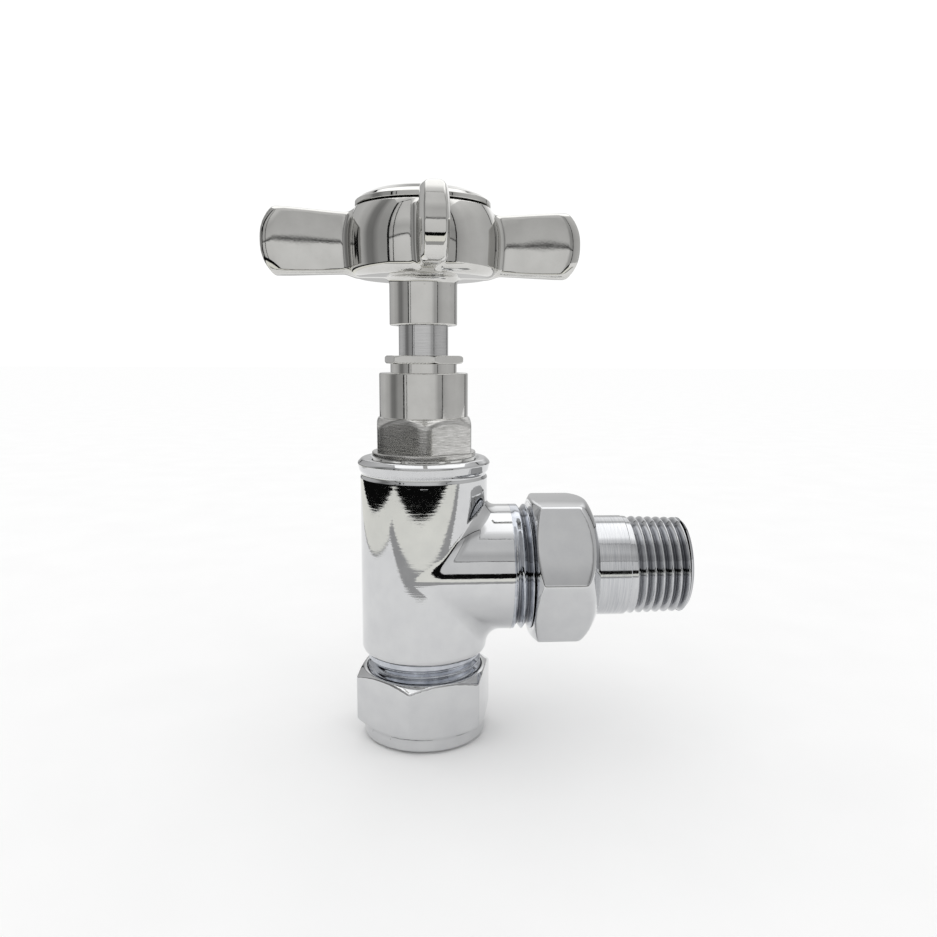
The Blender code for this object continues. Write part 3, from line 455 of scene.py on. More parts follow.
def piece(name, body, material, parts, stands_for=(), slot=None):
    """One object from surfaces (verts, faces[, normals]) that rides on a body."""
    verts, faces, normals = [], [], []
    base = 0
    for part in parts:
        v, f = part[0], part[1]
        normals.append(part[2] if len(part) > 2 else mesh_normals(v, f))
        verts.append(v)
        faces.append(f + base)
        base += len(v)
    verts, faces, normals = np.concatenate(verts), np.concatenate(faces), np.concatenate(normals)
    mesh = bpy.data.meshes.new(name)
    mesh.vertices.add(len(verts))
    mesh.vertices.foreach_set("co", (verts * MM).astype(np.float32).ravel())
    mesh.loops.add(faces.size)
    mesh.loops.foreach_set("vertex_index", faces.astype(np.int32).ravel())
    mesh.polygons.add(len(faces))
    mesh.polygons.foreach_set("loop_start", np.arange(0, faces.size, 4, dtype=np.int32))
    mesh.update(calc_edges=True)
    mesh.shade_smooth()
    mesh.normals_split_custom_set_from_vertices(normals.astype(np.float32))
    mesh.materials.append(material)
    obj = bpy.data.objects.new(name, mesh)
    bpy.context.scene.collection.objects.link(obj)
    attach(obj, body)
    if stands_for:
        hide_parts(*stands_for)
    slot or (stands_for[0] if stands_for else name)
    return obj


# ------------------------------------------------------------- materials

def new_material(name, metallic=0.0):
    """Material, its tree and shader, and the place on the object."""
    material = bpy.data.materials.new(name)
    material.use_nodes = True
    tree = material.node_tree
    shader = tree.nodes["Principled BSDF"]
    shader.inputs["Metallic"].default_value = metallic
    where = tree.nodes.new("ShaderNodeTexCoord").outputs["Object"]
    return material, tree, shader, where


def noise(tree, vector, scale, detail=2.0, stretch=(1.0, 1.0, 1.0), rough=0.5):
    """Cloudy noise; stretch gives each direction its own scale."""
    mapping = tree.nodes.new("ShaderNodeMapping")
    mapping.inputs["Scale"].default_value = stretch
    tree.links.new(vector, mapping.inputs["Vector"])
    node = tree.nodes.new("ShaderNodeTexNoise")
    node.inputs["Scale"].default_value = scale
    node.inputs["Detail"].default_value = detail
    node.inputs["Roughness"].default_value = rough
    tree.links.new(mapping.outputs["Vector"], node.inputs["Vector"])
    return node.outputs["Fac"]


def ramp(tree, value, low, high, start=0.3, end=0.7):
    """Number that goes from low to high as value goes from start to end."""
    node = tree.nodes.new("ShaderNodeMapRange")
    node.inputs["From Min"].default_value = start
    node.inputs["From Max"].default_value = end
    node.inputs["To Min"].default_value = low
    node.inputs["To Max"].default_value = high
    tree.links.new(value, node.inputs["Value"])
    return node.outputs["Result"]


def tint(tree, value, dark, light, start=0.3, end=0.7):
    """Colour that goes from dark to light as value goes from start to end."""
    node = tree.nodes.new("ShaderNodeValToRGB")
    node.color_ramp.elements[0].position = start
    node.color_ramp.elements[1].position = end
    node.color_ramp.elements[0].color = (*dark, 1.0)
    node.color_ramp.elements[1].color = (*light, 1.0)
    tree.links.new(value, node.inputs["Fac"])
    return node.outputs["Color"]


def bump(tree, shader, height, distance, below=None):
    """Relief on the shader, laid over the relief below it."""
    node = tree.nodes.new("ShaderNodeBump")
    node.inputs["Strength"].default_value = 1.0
    node.inputs["Distance"].default_value = distance
    tree.links.new(height, node.inputs["Height"])
    if below is not None:
        tree.links.new(below, node.inputs["Normal"])
    tree.links.new(node.outputs["Normal"], shader.inputs["Normal"])
    return node.outputs["Normal"]


def chrome(name, wave=0.00003, wave_scale=90.0, grain=0.0000012, rough=(0.02, 0.06),
           light=(0.645, 0.65, 0.655), dark=(0.60, 0.605, 0.615), ripple=0.0):
    """Polished plate: slow waviness of the buffed casting under a fine haze."""
    material, tree, shader, where = new_material(name, 1.0)
    cloud = noise(tree, where, 260.0, 3.0)
    tree.links.new(tint(tree, cloud, dark, light), shader.inputs["Base Color"])
    tree.links.new(ramp(tree, noise(tree, where, 700.0, 4.0), rough[0], rough[1]),
                   shader.inputs["Roughness"])
    slow = bump(tree, shader, noise(tree, where, wave_scale, 1.0), wave)
    if ripple:
        rings = noise(tree, where, 1.0, 2.0, (130.0, 130.0, 2900.0))
        slow = bump(tree, shader, rings, ripple, slow)
    bump(tree, shader, noise(tree, where, 2600.0, 2.0), grain, slow)
    return material


def worn_chrome(name, **changes):
    """Polished plate of the head works and the handle."""
    return chrome(name, light=WORN_LIGHT, dark=WORN_DARK, **changes)


def thread_depth(tree, where, root, crest):
    """0 in the grooves and 1 on the crests of a thread about the outlet axis."""
    value = where
    for operation, vector in (("SUBTRACT", (0.0, 0.0, OUTLET_Z * MM)),
                              ("MULTIPLY", (0.0, 1.0, 1.0))):
        node = tree.nodes.new("ShaderNodeVectorMath")
        node.operation = operation
        node.inputs[1].default_value = vector
        tree.links.new(value, node.inputs[0])
        value = node.outputs["Vector"]
    length = tree.nodes.new("ShaderNodeVectorMath")
    length.operation = "LENGTH"
    tree.links.new(value, length.inputs[0])
    return ramp(tree, length.outputs["Value"], 0.0, 1.0, root * MM, crest * MM)


def turned_chrome(name, stretch, lines=0.000004, rough=(0.08, 0.2), light=(0.62, 0.63, 0.64),
                  dark=(0.50, 0.51, 0.53), wave=0.00001, groove=None):
    """Plate over tool marks that run round the piece, with painted shade in the thread grooves."""
    material, tree, shader, where = new_material(name, 1.0)
    marks = noise(tree, where, 1.0, 3.0, stretch, 0.65)
    color = tint(tree, marks, dark, light, 0.35, 0.65)
    # Painted shade: the colour darkens from the crests to the roots of the thread grooves.
    if groove:
        mixer = tree.nodes.new("ShaderNodeMix")
        mixer.data_type = "RGBA"
        share, low, high = mixer.inputs[0], mixer.inputs[6], mixer.inputs[7]
        low.default_value = (*PAINTED_GROOVE_SHADE, 1.0)
        tree.links.new(thread_depth(tree, where, *groove), share)
        tree.links.new(color, high)
        color = mixer.outputs[2]
    tree.links.new(color, shader.inputs["Base Color"])
    tree.links.new(ramp(tree, marks, rough[1], rough[0]), shader.inputs["Roughness"])
    slow = bump(tree, shader, noise(tree, where, 120.0, 1.0), wave)
    bump(tree, shader, marks, lines, slow)
    return material


def plain(name, metallic, dark, light, rough, cloud, relief, depth):
    """Colour and gloss that follow one noise, over the relief of another."""
    material, tree, shader, where = new_material(name, metallic)
    value = noise(tree, where, *cloud)
    tree.links.new(tint(tree, value, dark, light), shader.inputs["Base Color"])
    tree.links.new(ramp(tree, value, *rough), shader.inputs["Roughness"])
    bump(tree, shader, noise(tree, where, *relief), depth)
    return material


def brass(name):
    """Machined brass with tool marks and a light tarnish."""
    return plain(name, 1.0, (0.55, 0.36, 0.12), (0.83, 0.62, 0.28), (0.42, 0.2),
                 (300.0, 5.0), (1.0, 3.0, (900.0, 900.0, 5200.0)), 0.000008)


def rubber(name):
    """Black moulded rubber with a dusty bloom."""
    return plain(name, 0.0, (0.012, 0.012, 0.013), (0.05, 0.05, 0.052), (0.45, 0.75),
                 (450.0, 6.0, (1.0, 1.0, 1.0), 0.7), (3000.0, 3.0), 0.00001)


def fibre(name):
    """Off-white packing with a faint fibrous grain."""
    strands = (1.0, 5.0, (1500.0, 1500.0, 6000.0))
    return plain(name, 0.0, (0.62, 0.60, 0.53), (0.86, 0.85, 0.80), (0.45, 0.7),
                 strands, strands, 0.00002)


def steel(name):
    """Zinc-plated steel, slightly cloudy."""
    return plain(name, 1.0, (0.50, 0.51, 0.52), (0.72, 0.73, 0.75), (0.4, 0.22),
                 (500.0, 5.0), (1800.0, 3.0), 0.000006)


# ------------------------------------------------------------ valve body

def tee_field(x, y, z):
    """Barrel and branch of equal size with a rolling-ball fillet between them."""
    around = np.sqrt(x * x + y * y)
    across = np.sqrt(y * y + (z - OUTLET_Z) ** 2 + np.minimum(x, 0.0) ** 2)
    barrel = around - TEE_RADIUS + TEE_DIP * linear(z, SEAM_Z, SEAM_Z + 0.6) ** 2
    barrel = round_max(barrel, FOOT_Z - z, 1.5)
    branch = across - TEE_RADIUS + TEE_DIP * linear(x, THREAD_X, THREAD_X + 0.5) ** 2
    cosine = np.clip(y * y / np.maximum(around * across, 1e-6), 0.0, 0.9999)
    upper = smooth(z, OUTLET_Z - 5.0, OUTLET_Z + 5.0)
    side = smooth(np.abs(y), 0.0, 9.0)
    radius = FILLET_TOP + (FILLET_SIDE - FILLET_TOP) * side
    radius = radius * upper + FILLET_LOW * (1.0 - upper)
    da, db = barrel - radius, branch - radius
    slant = np.maximum(da * da + db * db - 2.0 * cosine * da * db, 0.0) / (1.0 - cosine ** 2)
    fillet = (db <= cosine * da) & (da <= cosine * db)
    joined = np.where(fillet, radius - np.sqrt(slant), np.minimum(barrel, branch))
    # Near x = 0 the two cylinders touch without a corner to fill, and a soft
    # blend takes over from the fillet.
    reach = 0.45 * smooth(x, -3.0, 3.0) + 1e-6
    soft = np.minimum(barrel, branch)
    soft = soft - np.maximum(reach - np.abs(barrel - branch), 0.0) ** 2 / (4.0 * reach)
    share = smooth(x, 1.5, 5.5)
    return share * joined + (1.0 - share) * soft


def build_casting():
    plate = chrome("valve_body_chrome", wave=0.00004, wave_scale=70.0, ripple=0.0000030)
    reach = TEE_RADIUS + 0.77
    tee = implicit(tee_field, (-reach, -reach, FOOT_Z - 0.9), (THREAD_X + 0.7, reach, SEAM_Z + 0.8), 0.4,
                   keep=lambda x, y, z: (np.hypot(x, y) > 11.2) | (x > 8.0))
    bead = lathe([
        (TEE_RADIUS, SEAM_Z, 0.0), (TEE_RADIUS, SEAM_Z + 0.8, 0.4),
        (TEE_RADIUS - 0.28, BEAD_LOW_Z - 0.85, 0.5), (TEE_RADIUS - 0.25, BEAD_LOW_Z - 0.45, 0.5),
        (TEE_RADIUS + 0.1, BEAD_LOW_Z, 0.4), (BEAD_RADIUS - 0.32, BEAD_LOW_Z + 0.25, 0.25),
        (BEAD_RADIUS, BARREL_TOP_Z - 0.9, 0.6), (BEAD_RADIUS - 0.9, BARREL_TOP_Z, 0.8),
        (11.6, BARREL_TOP_Z, 0.2), (BONNET_BORE + 0.05, BARREL_TOP_Z - 0.6, 0.1),
        (BONNET_BORE, BARREL_TOP_Z - 3.0, 0.0)])
    piece("tee_casting", "body", plate, [tee, bead], ("valve_body",))


def build_body_threads():
    # Painted shade darkens this material by distance from the outlet axis, so it is dark in the grooves of
    # the branch thread.
    cut = turned_chrome("valve_body_thread", (300.0, 300.0, 300.0), 0.000004, (0.03, 0.09),
                        (0.60, 0.62, 0.66), (0.42, 0.44, 0.48), groove=(12.15, 12.95))
    lead = NECK_Z + 0.9
    neck = thread(INLET_RADIUS, INLET_PITCH, THREAD_SHARE * INLET_PITCH, lead, FOOT_Z + 0.05, UP,
                  last=FOOT_Z - 0.55)
    neck_end = lathe([
        (SOCKET_RADIUS, PIPE_STOP_Z, 0.0), (SOCKET_RADIUS, CONE_TOP_Z, 0.3), (CONE_RADIUS, NECK_Z, 0.1),
        (INLET_RADIUS - 0.9, NECK_Z, 0.2), (INLET_RADIUS - 0.05, lead, 0.0)])
    lead = MOUTH_X - 0.9
    branch = thread(TEE_RADIUS, OUTLET_PITCH, THREAD_SHARE * OUTLET_PITCH, THREAD_X, lead, OUT,
                    first=THREAD_X + 0.75)
    mouth = lathe([
        (TEE_RADIUS - 0.05, lead, 0.0), (TEE_RADIUS - 1.0, MOUTH_X, 0.2),
        (MOUTH_RADIUS + 0.4, MOUTH_X, 0.2), (MOUTH_RADIUS, MOUTH_X - 0.4, 0.2),
        (MOUTH_RADIUS, MOUTH_STEP_X, 0.2), (BRANCH_BORE, MOUTH_STEP_X, 0.0)], OUT)
    piece("tee_threads", "body", cut, [neck, neck_end, branch, mouth], slot="valve_body")


def cut_bands(verts, faces, tall=1.5, cuts=24):
    """The same upright surface with its tall bands cut into short ones."""
    quads = verts[faces]
    chosen = np.abs(quads[:, 2, 2] - quads[:, 0, 2]) > tall
    quads = quads[chosen]
    points, pieces = [verts], [faces[~chosen]]
    base = len(verts)
    for k in range(cuts):
        for share, near, far in ((k, 0, 3), (k, 1, 2), (k + 1, 1, 2), (k + 1, 0, 3)):
            points.append(quads[:, near] + (quads[:, far] - quads[:, near]) * (share / cuts))
        first = base + np.arange(len(quads))
        pieces.append(np.stack([first + corner * len(quads) for corner in range(4)], -1))
        base += 4 * len(quads)
    return np.concatenate(points), np.concatenate(pieces)


def build_waterway():
    """Bored chamber with the seat, open to the branch."""
    core = lathe([
        (BONNET_BORE, BARREL_TOP_Z - 3.0, 0.0), (BONNET_BORE, BONNET_STOP_Z, 0.1),
        (CHAMBER_RADIUS, BONNET_STOP_Z, 0.1), (CHAMBER_RADIUS, 36.0, 0.0),
        (CHAMBER_RADIUS, SEAT_Z - 1.0, 0.2), (SEAT_RIM, SEAT_Z - 1.0, 0.1), (SEAT_RIM, SEAT_Z, 0.3),
        (SEAT_BORE, SEAT_Z, 0.3), (SEAT_BORE, 22.0, 0.0), (SEAT_BORE, PIPE_STOP_Z, 0.2),
        (SOCKET_RADIUS, PIPE_STOP_Z, 0.0)], UP, 96)
    side = lathe([(BRANCH_BORE, x, 0.0) for x in (MOUTH_STEP_X, 20.0, 14.0, 10.0, 8.0, 6.0)], OUT, 96)
    verts, faces = cut_bands(*core)
    x, y, z = verts[faces].mean(1).T
    core = (verts, faces[(np.hypot(y, z - OUTLET_Z) >= BRANCH_BORE) | (x <= 0.0)])
    verts, faces = side
    x, y, z = verts[faces].mean(1).T
    side = (verts, faces[np.hypot(x, y) > 9.0])
    piece("tee_waterway", "body", brass("valve_body_waterway"), [core, side], slot="valve_body")


# ------------------------------------------------------ compression end

def compression_nut_field(x, y, z):
    r = np.hypot(x, y)
    body = hexagon(*turned(x, y, NUT_TURN), NUT_FLATS, NUT_CORNER, 0.16)
    body = round_max(body, chamfer(r - 12.9, z - NUT_HEIGHT), 0.25)
    body = round_max(body, z - NUT_HEIGHT, 0.15)
    body = round_max(body, chamfer(r - COLLAR_RADIUS - 0.2, COLLAR_HEIGHT - z), 0.3)
    collar = round_max(round_max(r - COLLAR_RADIUS, -z, 0.35), z - 6.0, 0.3)
    body = round_min(body, collar, 0.25)
    bore = SOCKET_RADIUS + 0.15 + 4.55 * linear(z, 2.2, 2.314)
    return round_max(body, bore - r, 0.2)


def build_compression_end():
    reach = NUT_FLATS / 2.0 + 2.4
    nut = implicit(compression_nut_field, (-reach, -reach, -0.6), (reach, reach, NUT_HEIGHT + 0.6), 0.3,
                   keep=lambda x, y, z: (np.hypot(x, y) > 12.5) | (z < 2.6) | (z > NUT_HEIGHT - 0.5))
    np.maximum(nut[0][:, 2], 0.0, out=nut[0][:, 2])
    lead = NUT_HEIGHT - 0.45
    inner = thread(NUT_THREAD_RADIUS, INLET_PITCH, THREAD_SHARE * INLET_PITCH, 4.6, lead, UP,
                   first=4.9, offset=0.5, segments=96, rows=14, inward=True)
    verts, faces = lathe([(NUT_THREAD_RADIUS, lead, 0.0), (NUT_THREAD_RADIUS + 0.76, NUT_HEIGHT - 0.02, 0.0)],
                         segments=96)
    piece("inlet_nut_shell", "compression_nut", chrome("compression_nut_chrome"),
          [nut, inner, (verts, faces[:, ::-1])], ("compression_nut",))
    olive = lathe([
        (OLIVE_BORE, OLIVE_Z, 0.0), (OLIVE_RADIUS - 0.6, OLIVE_Z, 0.15), (OLIVE_RADIUS, 4.2, 0.6),
        (OLIVE_RADIUS, 5.5, 0.6), (OLIVE_RADIUS - 0.55, OLIVE_TOP_Z, 0.2), (OLIVE_BORE, OLIVE_TOP_Z, 0.15),
        (SOCKET_RADIUS, 5.0, 0.0), (OLIVE_BORE, OLIVE_Z, 0.0)], segments=96)
    piece("sealing_olive", "olive", brass("olive_brass"), [olive], ("olive",))


# ---------------------------------------------------------------- union

def union_nut_field(x, y, z):
    r = np.hypot(y, z - OUTLET_Z)
    body = hexagon(*turned(y, z - OUTLET_Z, UNION_TURN), UNION_FLATS, UNION_CORNER, 0.30)
    crown = np.where(x > CROWN_X, np.hypot(r - CROWN_CENTRE, x - CROWN_X), r - CROWN_CENTRE) - CROWN_ARC
    body = round_max(body, crown, 0.5)
    body = round_max(body, chamfer(r - 14.3, UNION_X - x), 0.3)
    body = round_max(body, UNION_X - x, 0.15)
    body = round_max(body, x - UNION_END_X, 0.2)
    bore = np.where(x > FLANGE_X, FLANGE_RADIUS + UNION_GAP, TEE_RADIUS + 0.27)
    bore = np.where(x > FLANGE_END_X + UNION_GAP, TAIL_RADIUS + UNION_GAP, bore)
    return round_max(body, bore - r, 0.2)


def build_union_nut():
    reach = UNION_FLATS / 2.0 + 3.25
    nut = implicit(union_nut_field, (UNION_X - 0.6, -reach, OUTLET_Z - reach),
                   (UNION_END_X + 0.6, reach, OUTLET_Z + reach), 0.32,
                   keep=lambda x, y, z: (np.hypot(y, z - OUTLET_Z) > 13.75) | (x > 29.0) | (x < 22.7))
    lead = UNION_X + 0.55
    inner = thread(UNION_THREAD_RADIUS, OUTLET_PITCH, 1.1, lead, 30.0, OUT, offset=0.5,
                   segments=96, rows=14, inward=True)
    mouth = lathe([(UNION_THREAD_RADIUS, lead, 0.0), (13.6, UNION_X + 0.05, 0.0)], OUT, 96)
    piece("outlet_nut_shell", "union_nut", chrome("union_nut_chrome"), [nut, inner, mouth], ("union_nut",))


def tail_crest(x):
    """Crest radius of the taper thread at a station."""
    return TAIL_THREAD_RADIUS - TAPER * (x - TAIL_THREAD_X)


def build_tail():
    # Painted shade darkens this material in the grooves of the tail thread.
    skin = turned_chrome("union_tail_turned", (5200.0, 160.0, 160.0), 0.000003, (0.04, 0.12),
                         (0.64, 0.645, 0.655), (0.50, 0.51, 0.53), groove=(9.3, 10.0))
    start, lead = TAIL_THREAD_X + 0.12, TAIL_END_X - 0.75
    spigot = lathe([
        (TAIL_BORE, HEX_BORE_X, 0.0), (TAIL_BORE, SPIGOT_X + 0.1, 0.2), (SPIGOT_RADIUS, SPIGOT_X, 0.2),
        (SPIGOT_RADIUS, GROOVE_X, 0.1), (GROOVE_RADIUS, GROOVE_X, 0.1), (GROOVE_RADIUS, GROOVE_END_X, 0.1),
        (SPIGOT_RADIUS, GROOVE_END_X, 0.1), (SPIGOT_RADIUS, FLANGE_X, 0.1), (FLANGE_RADIUS, FLANGE_X, 0.25),
        (FLANGE_RADIUS, FLANGE_END_X, 0.25), (TAIL_RADIUS, FLANGE_END_X, 0.2), (TAIL_RADIUS, 38.0, 0.0),
        (TAIL_RADIUS, TAIL_THREAD_X, 0.15), (TAIL_THREAD_RADIUS, start, 0.0)], OUT)
    screw = thread(tail_crest, OUTLET_PITCH, 1.08, start, lead, OUT, first=TAIL_THREAD_X + 0.7, rows=26)
    nose = lathe([
        (tail_crest(TAIL_END_X) + 0.02, lead, 0.0), (tail_crest(TAIL_END_X) - 0.65, TAIL_END_X, 0.5),
        (TAIL_BORE + 0.4, TAIL_END_X, 0.2), (TAIL_BORE, TAIL_END_X - 0.4, 0.2),
        (TAIL_BORE, HEX_BORE_X, 0.0)], OUT)
    piece("tail_skin", "tail", skin, [spigot, screw, nose], ("union_tail",))


# ----------------------------------------------------------- head works

def bonnet_field(x, y, z):
    """Hexagon milled on a round bar, chamfered towards the housing."""
    r = np.hypot(x, y)
    flats = hexagon(*turned(x, y, BONNET_TURN), BONNET_FLATS, 0.02, 0.16)
    body = round_max(r - BONNET_BAR, flats, 0.5)
    body = round_max(body, 0.74 * (r - 9.3) + 0.67 * (z - HOUSING_Z), 0.35)
    body = round_max(body, z - HOUSING_Z, 0.1)
    return round_max(body, BONNET_Z + 0.85 - z, 0.05)


def gland_field(x, y, z):
    r = np.hypot(x, y)
    body = hexagon(*turned(x, y, GLAND_TURN), GLAND_FLATS, 0.25)
    body = round_max(body, GLAND_HEX_Z - z, 0.15)
    body = round_max(body, z - GLAND_TOP_Z, 0.15)
    body = round_max(body, chamfer(r - GLAND_ROUND, z - GLAND_TOP_Z), 0.1)
    body = round_max(body, chamfer(r - GLAND_ROUND, GLAND_HEX_Z - z), 0.1)
    return round_max(body, STEM_HOLE - r, 0.15)


def build_bonnet():
    milled = turned_chrome("bonnet_milled", (420.0, 420.0, 4200.0), 0.000010, (0.12, 0.26),
                           (0.66, 0.655, 0.64), (0.46, 0.455, 0.44), 0.00002)
    reach = BONNET_BAR + 0.65
    block = implicit(bonnet_field, (-reach, -reach, BONNET_Z - 0.6), (reach, reach, HOUSING_Z + 0.5), 0.25,
                     keep=lambda x, y, z: np.hypot(x, y) > 7.5)
    disc = lathe([(8.8, BONNET_Z, 0.0), (BONNET_BAR, BONNET_Z, 0.15), (BONNET_BAR, BONNET_Z + 1.0, 0.25),
                  (8.8, BONNET_Z + 1.0, 0.0)])
    piece("bonnet_flats", "body", milled, [block, disc], slot="bonnet")
    housing = lathe([
        (STEM_HOLE, PACKING_Z, 0.0), (STEM_HOLE, 65.5, 0.1), (6.6, 65.5, 0.1), (6.6, 59.5, 0.1),
        (5.6, 59.4, 0.1), (5.6, SKIRT_Z, 0.2), (SKIRT_RADIUS, SKIRT_Z, 0.3), (SKIRT_RADIUS, SEAL_Z, 0.1),
        (SEAL_RADIUS, SEAL_Z, 0.1), (SEAL_RADIUS, SEAL_TOP_Z, 0.1), (SKIRT_RADIUS, SEAL_TOP_Z, 0.1),
        (SKIRT_RADIUS, BONNET_Z + 0.2, 0.0)])
    upper = lathe([
        (9.4, HOUSING_Z - 0.1, 0.0), (HOUSING_RADIUS, HOUSING_Z + 0.05, 0.15), (HOUSING_RADIUS, 72.0, 0.0),
        (HOUSING_RADIUS, HOUSING_TOP_Z, 0.3), (PACKING_BORE + 0.1, HOUSING_TOP_Z, 0.1),
        (PACKING_BORE, HOUSING_TOP_Z - 0.2, 0.1), (PACKING_BORE, PACKING_Z, 0.2),
        (STEM_HOLE, PACKING_Z, 0.0)])
    piece("bonnet_housing", "body", worn_chrome("bonnet_chrome", rough=(0.03, 0.09)), [housing, upper],
          ("bonnet",))


def build_gland():
    reach = GLAND_FLATS / 2.0 + 1.65
    head = implicit(gland_field, (-reach, -reach, GLAND_HEX_Z - 0.4), (reach, reach, GLAND_TOP_Z + 0.4), 0.2)
    neck = lathe([(STEM_HOLE, GLAND_HEX_Z, 0.0), (STEM_HOLE, GLAND_NECK_Z, 0.15),
                  (RING_RADIUS, GLAND_NECK_Z, 0.2), (RING_RADIUS, GLAND_HEX_Z + 0.2, 0.0)])
    piece("gland_shell", "body", worn_chrome("gland_chrome"), [head, neck], ("gland_nut",))


def build_spindle():
    top = DRIVE_TOP_Z + 0.1
    stem = lathe([
        (STEM_RADIUS - 1.0, top, 0.0), (STEM_RADIUS, top + 0.2, 0.1), (STEM_RADIUS, 70.0, 0.0),
        (STEM_RADIUS, STEM_TOP_Z, 0.2), (SPLINE_RADIUS, STEM_TOP_Z, 0.1),
        (SPLINE_RADIUS, SPLINE_TOP_Z, 0.3), (SCREW_HOLE, SPLINE_TOP_Z, 0.1),
        (SCREW_HOLE, SCREW_HOLE_Z, 0.0)])
    drive = thread(DRIVE_RADIUS, DRIVE_PITCH, THREAD_SHARE * DRIVE_PITCH, DRIVE_Z, DRIVE_TOP_Z, UP,
                   segments=96, rows=14)
    foot = lathe([
        (JUMPER_HOLE, JUMPER_HOLE_Z, 0.0), (JUMPER_HOLE, SPINDLE_Z, 0.2),
        (SPINDLE_FOOT_RADIUS, SPINDLE_Z, 0.3), (SPINDLE_FOOT_RADIUS, DRIVE_Z - 0.3, 0.1),
        (DRIVE_RADIUS - 0.1, DRIVE_Z, 0.0)])
    shoulder = lathe([(DRIVE_RADIUS - 0.1, DRIVE_TOP_Z, 0.0), (STEM_RADIUS - 1.0, top, 0.0)])
    skin = turned_chrome("spindle_turned", (240.0, 240.0, 3600.0), 0.0000008, (0.05, 0.12),
                         (0.60, 0.60, 0.60), (0.54, 0.54, 0.54))
    piece("stem_and_screw", "spindle_and_handle", skin, [stem, drive, foot, shoulder], ("spindle",))


# --------------------------------------------------------------- handle

def hub_field(r, z):
    """Bulging hub between two arcs, with a boss below it."""
    upper = np.hypot(r - HUB_ARC_CENTRE, z - HUB_MIDDLE_Z) - HUB_ARC
    wall = HUB_ARC_CENTRE + HUB_ARC - HUB_LOW_ARC
    lower = np.hypot(r - wall, z - HUB_MIDDLE_Z) - HUB_LOW_ARC
    hub = np.where(z > HUB_MIDDLE_Z, upper, lower)
    hub = round_max(hub, HUB_Z - z, 1.9)
    hub = round_max(hub, z - HUB_TOP_Z, 0.2)
    boss = round_max(r - BOSS_RADIUS, BOSS_Z - z, 0.3)
    boss = round_max(boss, z - HUB_Z - 3.0, 0.2)
    return round_min(hub, boss, 1.3)


def arm_field(out, side, z):
    """Flared arm with a bowed end and pillowed sides, along out."""
    rise = linear(out, 14.0, 29.0)
    low = HUB_Z + 0.70 - 0.45 * rise
    high = HUB_Z + 12.45 + 0.95 * rise
    middle, half = (low + high) / 2.0, (high - low) / 2.0
    level = np.abs(z - middle)
    along = out + ARM_SAG * (level / half) ** 2.5
    thick = ARM_THICK + ARM_FLARE * smooth(along, 20.0, 29.0)
    thick = thick + 0.25 * linear(18.0 - along, 0.0, 5.0) ** 2
    thick = thick - 0.75 * linear(along, 29.4, ARM_REACH) ** 1.6
    pillow = 0.34 * np.clip(level / half, 0.0, 1.2) ** 2.4
    arm = round_max(side - thick + pillow, level - half, 0.9)
    return round_max(arm, (along - ARM_REACH) * 0.93, 0.3)


def handle_field(x, y, z):
    px, py = (np.abs(v) for v in turned(x, y, ARM_TURN))
    arms = arm_field(np.maximum(px, py), np.minimum(px, py), z)
    return round_min(hub_field(np.hypot(x, y), z), arms, 1.5)


def build_handle():
    reach = ARM_REACH + 1.0
    shape = implicit(handle_field, (-reach, -reach, BOSS_Z - 0.6), (reach, reach, HUB_TOP_Z + 0.6), 0.36,
                     keep=lambda x, y, z: (np.hypot(x, y) > 5.6) & ((np.hypot(x, y) > 9.2) | (z < 105.0)),
                     relax=6)
    bore = lathe([
        (HOLLOW_RADIUS, HUB_TOP_Z - 0.05, 0.0), (HOLLOW_RADIUS, HOLLOW_Z, 0.3), (4.6, HOLLOW_Z, 0.1),
        (4.6, STEM_TOP_Z + 0.3, 0.1), (STEM_HOLE, STEM_TOP_Z + 0.3, 0.1), (STEM_HOLE, BOSS_Z + 0.1, 0.1),
        (5.8, BOSS_Z, 0.0)], segments=96)
    rim = lathe([(HOLLOW_RADIUS + 0.35, HUB_TOP_Z, 0.0), (HOLLOW_RADIUS, HUB_TOP_Z - 0.05, 0.0)],
                segments=96)
    piece("cross_handle_shell", "spindle_and_handle",
          worn_chrome("handle_chrome", wave=0.00009, wave_scale=60.0), [shape, bore, rim], ("handle",))


def build_cap():
    dome = lathe([
        (CAP_HOLLOW, CAP_SHANK_Z, 0.0), (CAP_SHANK, CAP_SHANK_Z, 0.2), (CAP_SHANK, CAP_Z, 0.1),
        (CAP_RADIUS, CAP_Z, 0.2), (CAP_RADIUS, CAP_Z + 0.9, 0.35), (12.7, CAP_Z + 1.62, 1.5),
        (10.8, CAP_Z + 2.62, 5.0), (7.8, CAP_Z + 3.48, 9.0), (4.0, CAP_Z + 4.03, 12.0),
        (0.0, CAP_TOP_Z, 0.0)], steps=8)
    hollow = lathe([(0.0, CAP_HOLLOW_Z, 0.0), (CAP_HOLLOW, CAP_HOLLOW_Z, 0.2),
                    (CAP_HOLLOW, CAP_SHANK_Z, 0.0)])
    piece("cap_shell", "spindle_and_handle", worn_chrome("cap_chrome", wave=0.00002), [dome, hollow],
          ("handle_cap",))


# -------------------------------------------------------- hidden pieces

def ring(inner, outer, low, high, edge=0.2):
    """Flat ring with softened edges."""
    return lathe([(inner, low + edge, 0.0), (inner + edge, low, 0.0), (outer, low, edge),
                  (outer, high, edge), (inner, high, edge), (inner, low + edge, 0.0)], UP, COARSE)


def build_rings():
    for name, low, high, stuff in (
            ("packing_ring_lower", 68.8, 70.6, fibre),
            ("packing_ring_upper", 70.9, 72.7, fibre),
            ("gland_washer", 73.0, 73.8, brass)):
        piece(name + "_ring", "body", stuff(name + "_look"), [ring(STEM_HOLE, RING_RADIUS, low, high)],
              (name,))
    piece("seat_disc", "jumper", rubber("seat_washer_look"), [ring(2.2, 7.9, 32.1, 34.6)],
          ("seat_washer",))
    piece("lock_ring", "spindle_and_handle", steel("lock_washer_look"),
          [ring(SCREW_HOLE, 5.0, 101.1, 102.0)], ("lock_washer",))


